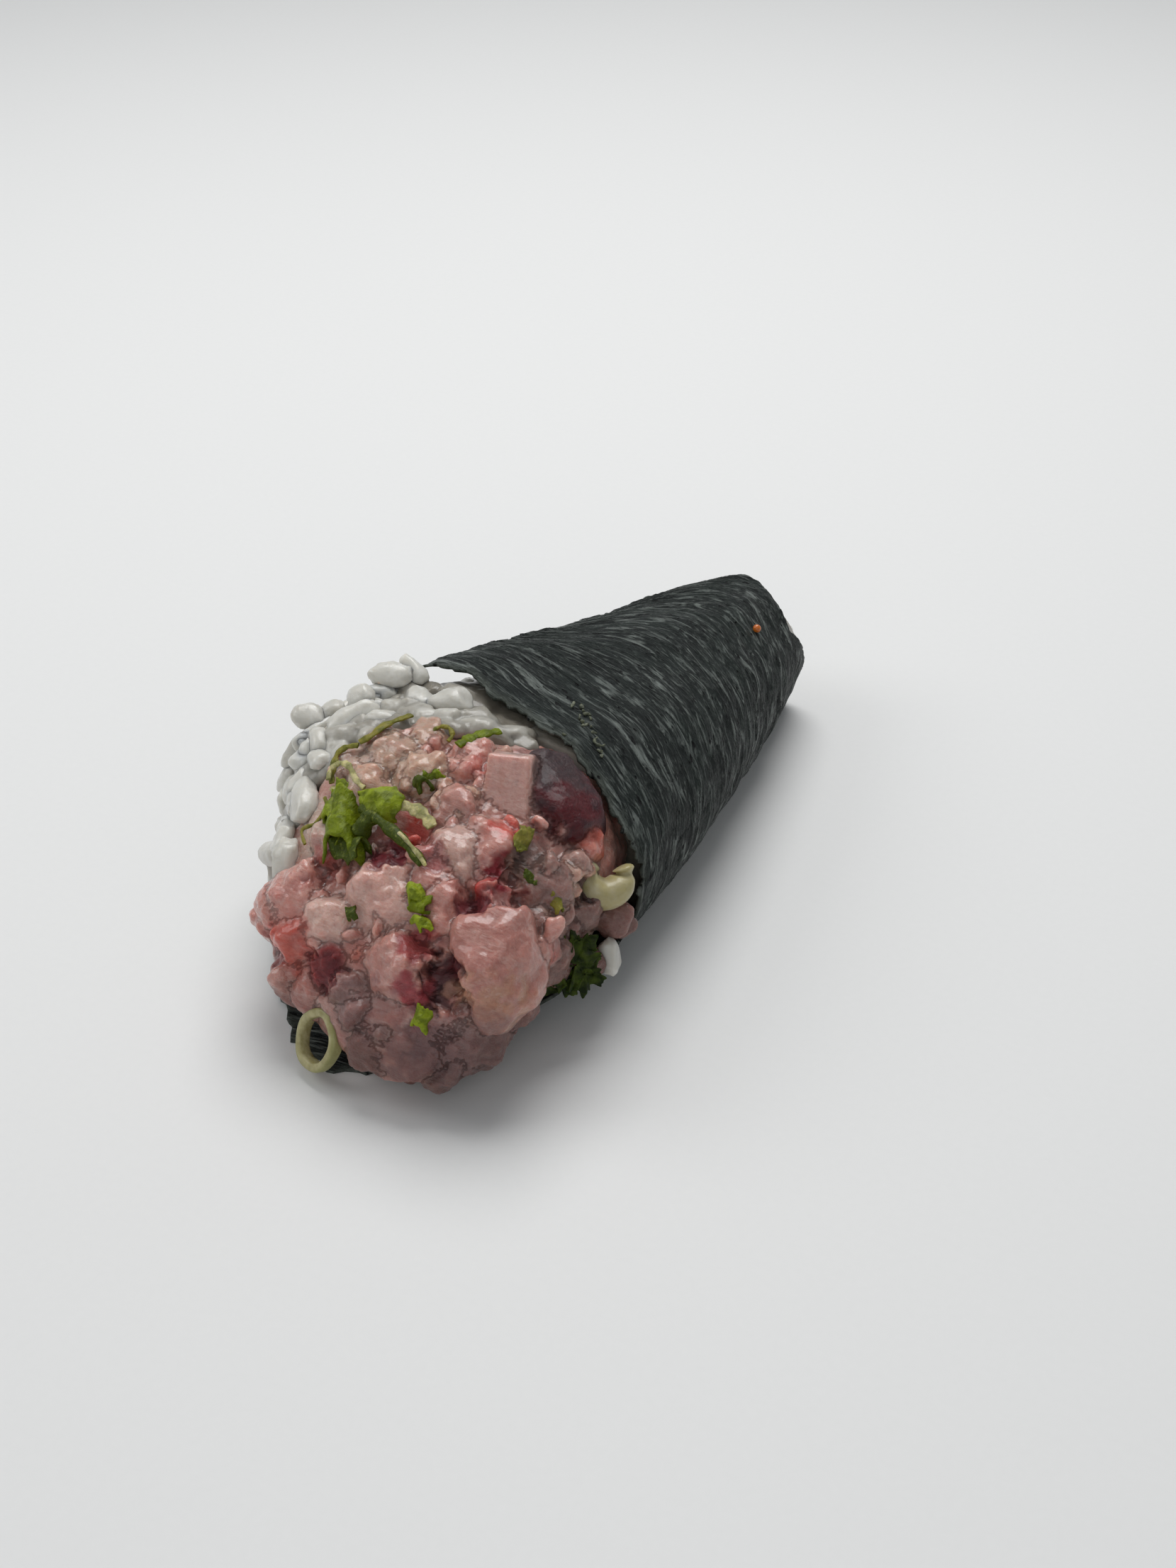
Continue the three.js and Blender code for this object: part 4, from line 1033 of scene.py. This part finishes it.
u, v = np.meshgrid(np.arange(ring_columns) / ring_columns, np.arange(ring_rows) / ring_rows)
stalk = ring_points(u, v).reshape(-1, 3)
stalk += 0.05 * rough(stalk, 0.8, 2)[:, None]
away_from_middle = np.hypot(stalk[:, 0] / ring_narrow, stalk[:, 1] / ring_tall)
turn = Matrix.Rotation(math.radians(-16), 3, "Z") @ Matrix.Rotation(math.radians(66), 3, "X")
stalk = stalk @ np.array(turn).T + (-0.5, -73, 5.2)
ring = make_piece(
    "scallion_slice", stalk, wrapped_faces(ring_columns, ring_rows), "stalk", "scallion_ring")
keep_number(ring, "skin_share", eased(away_from_middle, 3.35, 3.9))

sliced = Finish(
    "onion_stalk", IOR=1.38, Subsurface_Weight=0.3, Subsurface_Radius=(1.0, 0.9, 0.5),
    Subsurface_Scale=1.2 * mm, Coat_Weight=0.3, Coat_Roughness=0.2)
stalk_yellow, stalk_pale, skin_green = (0.31, 0.275, 0.12), (0.44, 0.40, 0.21), (0.27, 0.275, 0.09)
mottle = sliced.clouds(sliced.place(), 900, 3.0)
shade = sliced.blend(mottle.between(0.3, 0.7), stalk_yellow, stalk_pale)
shade = sliced.blend(sliced.kept("skin_share") * 0.6, shade, skin_green)
sliced.put_on(ring, Base_Color=shade, Roughness=0.36 + 0.15 * mottle, Normal=sliced.relief(mottle, 0.2))


def white_skin(t, angle):
    """A split scrap of the white, curled like a shell, with a nub left at each of its ends."""
    bend = np.radians(140 + 245 * t)
    plump = 0.5 + 1.35 * np.sin(np.pi * t) ** 0.6 + 0.3 * np.exp(-((t - 0.05) / 0.04) ** 2)
    plump += 0.35 * np.exp(-((t - 0.96) / 0.035) ** 2) - 0.4 * np.exp(-((t - 0.88) / 0.05) ** 2)
    around = np.radians(angle)
    away = 2.15 + 0.25 * np.sin(5 * t) + plump * np.cos(around)
    points = np.stack([away * np.cos(bend), away * np.sin(bend), 1.25 * plump * np.sin(around)], -1)
    return points + 0.1 * rough(points + 5, 1.4, 2)[..., None]


def facing_axes(out, upward):
    """Axes of a piece that stands on its edge, as columns: rightward, upward and out of its face."""
    out = Vector(out).normalized()
    right = Vector(upward).cross(out).normalized()
    return np.array(Matrix((right, out.cross(right), out)).transposed())


points, faces = closed_tube(np.linspace(0, 1, 61), np.arange(0, 360, 12.0), white_skin)
axes = facing_axes((0.62, -0.56, 0.55), (-0.3, 0.47, 0.83))
points = 1.15 * points @ axes.T + (22.2, -41.2, 20.2)
white = make_piece("scallion_white_piece", points, faces, "stalk", "scallion_white")
cream = Finish(
    "onion_white", IOR=1.38, Subsurface_Weight=0.35, Subsurface_Radius=(1.0, 0.9, 0.6),
    Subsurface_Scale=1.5 * mm, Coat_Weight=0.35, Coat_Roughness=0.18)
cream_yellow, cream_white = (0.39, 0.335, 0.15), (0.46, 0.41, 0.25)
mottle = cream.clouds(cream.place(), 500, 3.0)
shade = cream.blend(mottle.between(0.3, 0.7), cream_yellow, cream_white)
cream.put_on(white, Base_Color=shade, Roughness=0.34 + 0.15 * mottle, Normal=cream.relief(mottle, 0.25))


strand_sides = 10
scrap_columns, scrap_rows = 24, 18


def strand(width, thickness, *rows):
    """A flattened strand through places on the heap, each a station, an angle and a height."""
    rows = np.array(rows, float)
    at = np.linspace(0, len(rows) - 1, 12 * len(rows))
    station, angle, height = [np.interp(at, np.arange(len(rows)), column) for column in rows.T]
    middle = np.stack([heap_point(y, a, h) for y, a, h in zip(station, angle, height)])
    chain = np.stack([np.arange(len(at) - 1), np.arange(1, len(at))], 1)
    middle = relaxed(middle, chain, 30)
    ahead = np.gradient(middle, axis=0)
    ahead /= np.linalg.norm(ahead, axis=1, keepdims=True)
    out = np.stack([np.array(heap_frame(y, a).col[2]) for y, a in zip(station, angle)])
    side = np.cross(ahead, out)
    side /= np.linalg.norm(side, axis=1, keepdims=True)
    out = np.cross(side, ahead)
    turn = np.linspace(0, 2 * np.pi, strand_sides, endpoint=False)
    slim = 0.35 + 0.65 * np.sin(np.pi * np.linspace(0.06, 0.94, len(at))) ** 0.4
    slim = slim * (1 + 0.18 * np.sin(at * 5.3) + 0.1 * np.sin(at * 11.1))
    wide = side[:, None] * np.cos(turn)[:, None] * (width / 2 * slim)[:, None, None]
    thick = out[:, None] * np.sin(turn)[:, None] * (thickness / 2 * slim)[:, None, None]
    points = np.concatenate([(middle[:, None] + wide + thick).reshape(-1, 3), middle[[0, -1]]])
    return points, tube_faces(strand_sides, len(at) - 1)


def tube_scrap(length, radius, sweep, twist, tilt, station, angle, height):
    """A cut scrap of the hollow green top, its wall thin and its ends cut on the slant."""
    u, v = np.meshgrid(np.linspace(0, 1, scrap_columns + 1), np.linspace(0, 1, scrap_rows + 1))
    phase = station * 3 + angle
    turn = np.radians(sweep) * (u - 0.5) * (1 + 0.14 * np.sin(9 * v + phase))
    wavy = radius * (1 + 0.12 * np.sin(3 * turn + phase))
    wall = 0.22 * (1 - 0.5 * eased(np.abs(u - 0.5), 0.4, 0.5))
    torn_end = 1 + 0.12 * np.sin(7 * u + phase) + 0.07 * np.sin(23 * u + phase)
    reach = length * ((v - 0.5) * torn_end + 0.12 * np.sin(2 * turn + phase))
    sag = 0.25 * np.sin(5 * v + phase) * radius
    sides = []
    for side in (-1.0, 1.0):
        away = wavy + side * wall
        local = np.stack([reach, away * np.sin(turn), away * np.cos(turn) - radius * 0.7 + sag], -1)
        sides.append(lay_on_heap(local, station, angle, height, twist, tilt))
    sides = np.stack(sides)
    out = np.array(heap_frame(station, angle).col[2])
    crumpled = sides + 0.4 * rough(sides[:1] + phase, 1.2, 3)[..., None] * out
    return crumpled.reshape(-1, 3), slab_faces(scrap_columns, scrap_rows).tolist()


dark, bright, lime = (0.048, 0.068, 0.004), (0.16, 0.205, 0.004), (0.24, 0.30, 0.012)
olive, straw = (0.23, 0.20, 0.035), (0.56, 0.50, 0.25)
# Each strand: shade, width, thickness, then its places on the heap.
shreds = {
    "scallion_shred_back": [
        (olive, 1.3, 0.5, (-38.2, 193.5, 0.5), (-42, 195.5, 1.0), (-45.5, 197, 1.4), (-47.8, 203, 1.5)),
        (olive, 1.1, 0.5, (-47.4, 201, 1.2), (-48, 206, 1.4), (-48.8, 211, 1.1), (-51.5, 212, 0.6),
         (-53, 211, 0.2)),
    ],
    "scallion_shred_top": [
        (bright, 1.7, 0.6, (-42.5, 176.5, 0.5), (-41.2, 175.4, 0.8), (-39.8, 174.5, 0.8),
         (-37.8, 172, 0.8), (-35.8, 169, 0.5)),
        (olive, 0.7, 0.5, (-41.4, 180, -0.4), (-40.2, 179.6, 0.1), (-39.2, 180.8, 0.4),
         (-39.2, 183.4, 0.4), (-40.6, 185, 0.1), (-41.6, 183.6, -0.3)),
    ],
    "scallion_shred_front": [
        (dark, 1.5, 1.0, (-55.8, 195, 1.4), (-57.5, 183, 1.9), (-58.8, 176.5, 1.9), (-60.2, 168, 1.4)),
        (straw, 0.6, 0.5, (-58, 180, 2.3), (-59, 175, 2.3), (-60.4, 167, 1.7)),
    ],
}
clump_strands = [
    (straw, 1.7, 0.6, (-53.9, 184, 0.5), (-53.4, 180, 0.4), (-53.6, 176, 0.3), (-54.8, 171.5, 0.1)),
]
bit_strands = [
    (olive, 0.6, 0.4, (-54, 214.5, 0.0), (-55.5, 209.5, 0.1), (-58.2, 212, 0.2), (-58.5, 222, 0.1),
     (-61, 214, 0.0)),
    (straw, 0.9, 0.5, (-53.4, 210.5, 1.1), (-51.8, 211.5, 1.4), (-50.8, 206.5, 1.6),
     (-51.2, 202.5, 1.6), (-53, 198.5, 1.3), (-53.6, 193.5, 1.1)),
    (straw, 0.9, 0.6, (-52.6, 213, -0.3), (-53.4, 209, -0.3), (-53, 205.5, 0)),
]
# Each scrap: shade, length, radius, sweep of its wall, twist, tilt, station, angle and height.
clump_scraps = [
    (bright, 9, 2.6, 170, 16, 20, -57.4, 198, 0.7),
    (lime, 5.0, 2.1, 180, 110, -15, -54.6, 187.5, 1.2),
    (dark, 4.6, 1.8, 200, 60, 40, -59.4, 193, 0.6),
    (lime, 6.5, 1.7, 170, 5, -30, -55.4, 205, 0.5),
    (dark, 3.6, 1.2, 220, 150, 10, -57, 190, 1.2),
    (bright, 4.0, 1.5, 200, 30, -20, -59, 199, 0.7),
]
bit_scraps = [
    (lime, 2.6, 0.9, 240, 30, 30, -62.0, 167, 1.4),
    (bright, 2.4, 1.0, 200, 100, -30, -63, 164.5, 1.2),
    (lime, 2.2, 0.8, 220, 60, 50, -64.2, 160.5, 1.3),
    (dark, 1.6, 0.5, 200, 20, 0, -66.2, 186, 0.3),
    (lime, 2.6, 1.2, 120, 10, 0, -71.0, 144.5, -0.1),
    (dark, 2.6, 0.9, 220, 40, 20, -49.2, 180, 0.3),
    (bright, 2.2, 0.8, 200, 110, -20, -48.0, 178, 0.3),
    (olive, 3.2, 1.2, 110, 15, 25, -50.2, 142, 1.0),
    (olive, 2.4, 0.8, 120, 60, 0, -52.5, 115.5, 0.8),
    (dark, 1.8, 0.6, 120, 90, 0, -53.2, 131.5, 0.5),
    (straw, 1.9, 0.8, 100, 90, 0, -54, 192.5, 0.4),
]
greenery = []


def make_greens(name, scraps, strands, *nodes):
    """One piece out of scraps and strands of green, each with its own shade."""
    parts = [tube_scrap(*row) for _, *row in scraps] + [strand(*row) for _, *row in strands]
    points, faces, owners = join_parts(parts)
    piece = make_piece(name, points, faces, "green", *nodes)
    own_shades = np.array([shade for shade, *_ in (*scraps, *strands)])
    keep_number(piece, "own_shade", own_shades[owners])
    greenery.append(piece)


make_greens("green_tops", clump_scraps, clump_strands, "scallion_greens")
make_greens("green_bits", bit_scraps, bit_strands)
for node, strands in shreds.items():
    make_greens(node + "_strand", [], strands, node)

leafy = Finish(
    "onion_green", IOR=1.26, Subsurface_Weight=0.3, Subsurface_Radius=(0.9, 1.0, 0.1),
    Subsurface_Scale=0.8 * mm, Coat_Weight=0.05, Coat_Roughness=0.2)
bruised_green, vein_green = (0.055, 0.075, 0.003), (0.42, 0.44, 0.09)
mottle = leafy.clouds(leafy.place(), 650, 3.0)
veins = leafy.clouds(leafy.stretch(leafy.place(), 2400, 900, 2400), 1.0, 3.0)
shade = leafy.blend(mottle.between(0.42, 0.62) * 0.6, leafy.kept("own_shade", "Color"), bruised_green)
shade = leafy.blend(veins.between(0.52, 0.75) * 0.3, shade, vein_green)
for piece in greenery:
    leafy.put_on(piece, Base_Color=shade, Roughness=0.38 + 0.2 * mottle, Normal=leafy.relief(veins, 0.25))


# ---- Herb ------------------------------------------------------------------------------------
# A small sprig of frilled dark green herb, thin and matt, its edge cut into teeth. It hangs at
# the right foot of the heap, caught between the fish and the tongue of nori.
frill_columns, frill_rows = 90, 24


def herb_leaflet(reach, heading, middle):
    """A lobed, frilled leaflet, fanned out from its stem at the middle."""
    u, v = np.meshgrid(np.linspace(0, 1, frill_columns + 1), np.linspace(0, 1, frill_rows + 1))
    turn = np.radians(heading - 130 + 260 * u)
    lobes = 1 + v ** 2 * (0.2 * np.sin(26 * u + heading) + 0.1 * np.sin(67 * u) + 0.05 * np.sin(131 * u))
    away = reach * (0.06 + 0.94 * v) * lobes
    frill = v * (0.5 * np.sin(15 * u + heading) + 0.35 * np.sin(37 * u + 2 * v)) - 0.1 * away
    flat = np.stack([away * np.cos(turn), away * np.sin(turn)], -1)
    points = [np.concatenate([flat, (frill + side)[..., None]], -1) for side in (-0.14, 0.14)]
    return (np.stack(points) + middle).reshape(-1, 3), slab_faces(frill_columns, frill_rows).tolist()


# Each leaflet: reach, heading and middle.
leaflets = [
    (3.6, 200, (-0.6, -1.2, 0)), (3.3, 60, (1.0, 1.4, 0.5)), (3.0, 320, (1.9, -1.6, 0.9)),
    (2.8, 130, (-1.8, 1.8, 0.8)), (3.2, 20, (0.2, 0.2, 1.4)), (2.6, 250, (-2.4, -0.4, 1.2)),
]
points, faces, _ = join_parts([herb_leaflet(*row) for row in leaflets])
axes = facing_axes((0.80, -0.5, 0.34), (-0.2, 0.3, 0.9))
points = 0.85 * points @ axes.T + (23.0, -51.2, 12.6)
herb = make_piece("herb_sprig", points, faces, "herb", "herb_leaf")
fresh = Finish(
    "dark_herb", IOR=1.2, Subsurface_Weight=0.1, Subsurface_Radius=(0.4, 1.0, 0.2), Subsurface_Scale=0.5 * mm)
herb_dark, herb_green = (0.008, 0.015, 0.002), (0.05, 0.072, 0.008)
mottle = fresh.clouds(fresh.place(), 700, 4.0)
shade = fresh.blend(mottle.between(0.35, 0.7), herb_dark, herb_green)
fresh.put_on(herb, Base_Color=shade, Roughness=0.45 + 0.2 * mottle, Normal=fresh.relief(mottle, 0.4))


# ---- Roe and flecks --------------------------------------------------------------------------
# One orange fish egg and some flecks of dry onion skin, left on the nori by the cook's hands.
# They are tiny and only stick to the sheet.
egg_radius = 0.62
roe_points = ball * egg_radius + cone_point(143.0, 22.2, 0.45)
roe = make_piece("roe_egg", roe_points, ball_faces, "fish")
egg = Finish(
    "orange_roe", IOR=1.4, Subsurface_Weight=0.4, Subsurface_Radius=(1.0, 0.4, 0.1),
    Subsurface_Scale=0.6 * mm, Coat_Weight=0.6, Coat_Roughness=0.1)
egg_orange, egg_deep = (0.70, 0.20, 0.02), (0.42, 0.10, 0.01)
sheen = egg.clouds(egg.place(), 1800, 2.0)
egg.put_on(roe, Base_Color=egg.blend(sheen, egg_orange, egg_deep), Roughness=0.25 + 0.1 * sheen)


def on_sheet(points, angle, station, heading):
    """A small thing laid flat on the sheet at an angle round the roll and a station along it."""
    foot = cone_point(angle, station, 0.0).ravel()
    up = cone_point(angle, station, 1.0).ravel() - foot
    ahead = np.array([0.0, 1.0, 0.0])
    axes = np.stack([np.cross(up, ahead), ahead, up], -1)
    turn = Matrix.Rotation(math.radians(heading), 3, "Z")
    return points @ np.array(turn).T @ axes.T + foot


# Each fleck: angle round the roll, station, length, width and heading.
flecks = [
    [169, -22.3, 1.4, 0.5, 70], [166.2, -21.8, 0.9, 0.6, 20], [164.6, -22.5, 0.5, 0.4, 120],
    [162.6, -22.8, 1.3, 0.45, 150], [160.8, -23.3, 0.7, 0.35, 30], [163.4, -24.3, 0.9, 0.35, 60],
    [161.6, -24.9, 0.6, 0.5, 0], [159.8, -25.2, 1.2, 0.5, 120], [157.8, -25.0, 0.5, 0.3, 40],
    [155.6, -25.7, 0.9, 0.3, 150], [148.8, -28.3, 0.9, 0.5, 10], [147.2, -28.9, 0.6, 0.45, 80],
    [162, -29.5, 0.5, 0.4, 0],
]
sheddings = []
for angle, station, length, width, heading in flecks:
    flake = small_ball * (length / 2, width / 2, 0.2)
    flake = flake + 0.22 * rough(flake + station, 0.5, 2)[:, None] * small_ball + (0, 0, 0.3)
    sheddings.append((on_sheet(flake, angle, station, heading), small_ball_faces))
# One fleck is a thin curl.
curl_rings, curl_sides = 25, 8
curl = np.radians(np.linspace(150, 370, curl_rings))[:, None]
section = np.radians(np.arange(0, 360, 360 / curl_sides))[None]
thin = 0.2 * np.sin(np.linspace(0.15, 0.85, curl_rings) * np.pi)[:, None] * (1 + 0.3 * np.sin(5 * curl))
away = 0.75 + thin * np.cos(section)
rings = np.stack([away * np.cos(curl), away * np.sin(curl), 0.4 + thin * np.sin(section) + 0 * curl], -1)
curl_points = np.concatenate([rings.reshape(-1, 3), [rings[0].mean(0), rings[-1].mean(0)]])
sheddings.append((on_sheet(curl_points, 151.5, -26.8, 20), tube_faces(curl_sides, curl_rings - 1)))
points, faces, _ = join_parts(sheddings)
skin_flecks = make_piece("onion_flecks", points, faces, "green")
pale_skin = Finish(
    "onion_skin", IOR=1.4, Subsurface_Weight=0.2, Subsurface_Radius=(1, 0.9, 0.4), Subsurface_Scale=0.5 * mm)
fleck_grey, fleck_pale = (0.045, 0.052, 0.034), (0.135, 0.145, 0.095)
mottle = pale_skin.clouds(pale_skin.place(), 1500, 2.0)
shade = pale_skin.blend(mottle.between(0.35, 0.65), fleck_grey, fleck_pale)
pale_skin.put_on(skin_flecks, Base_Color=shade, Roughness=0.4 + 0.2 * mottle)


# ---- Table, light and camera -----------------------------------------------------------------
# A plain pale table under soft studio light that comes mostly from above and behind, and the
# camera that looks down on the mouth of the roll from the right of its front.
aim = Vector(((roll_axis[0] - 6.6) * mm, roll_axis[1] * mm, 0))
camera_turn, camera_height, camera_distance = math.radians(32.2), math.radians(34), 0.33
back = Vector((
    math.sin(camera_turn) * math.cos(camera_height), -math.cos(camera_turn) * math.cos(camera_height),
    math.sin(camera_height)))
lens = bpy.data.cameras.new("camera")
lens.lens = 50
lens.sensor_fit = "VERTICAL"
lens.sensor_height = 36
lens.clip_start = 0.01
camera = bpy.data.objects.new("camera", lens)
camera.location = aim + back * camera_distance
camera.rotation_euler = back.to_track_quat("Z", "Y").to_euler()
bpy.context.scene.collection.objects.link(camera)
bpy.context.scene.camera = camera

table_mesh = bpy.data.meshes.new("table")
reach = 3.0
corners = [(-reach, -reach, 0), (reach, -reach, 0), (reach, reach, 0), (-reach, reach, 0)]
table_mesh.from_pydata(corners, [], [(0, 1, 2, 3)])
table = bpy.data.objects.new("table", table_mesh)
bpy.context.scene.collection.objects.link(table)
paint = Finish("pale_table", Roughness=0.6)
mottle = paint.clouds(paint.place(), 900, 2.0)
paint.put_on(table, Base_Color=paint.blend(mottle, (0.78, 0.78, 0.77), (0.80, 0.80, 0.79)))


def soft_light(name, place, size, watts, shade=(1, 1, 1)):
    lamp = bpy.data.lights.new(name, "AREA")
    lamp.shape = "DISK"
    lamp.size = size
    lamp.energy = watts
    lamp.color = shade
    holder = bpy.data.objects.new(name, lamp)
    holder.location = place
    holder.rotation_euler = (Vector(place) - aim).to_track_quat("Z", "Y").to_euler()
    bpy.context.scene.collection.objects.link(holder)


soft_light("light_above", (-0.12, 0.28, 0.6), 0.5, 3.1)
soft_light("light_left", (-0.5, -0.2, 0.45), 0.4, 0.9)
soft_light("light_front", (0.25, -0.5, 0.3), 0.5, 0.55)
world = bpy.data.worlds.new("studio")
world.use_nodes = True
world.node_tree.nodes["Background"].inputs["Color"].default_value = (0.92, 0.96, 1.0, 1)
world.node_tree.nodes["Background"].inputs["Strength"].default_value = 0.26
bpy.context.scene.world = world
bpy.context.scene.view_settings.view_transform = "Standard"
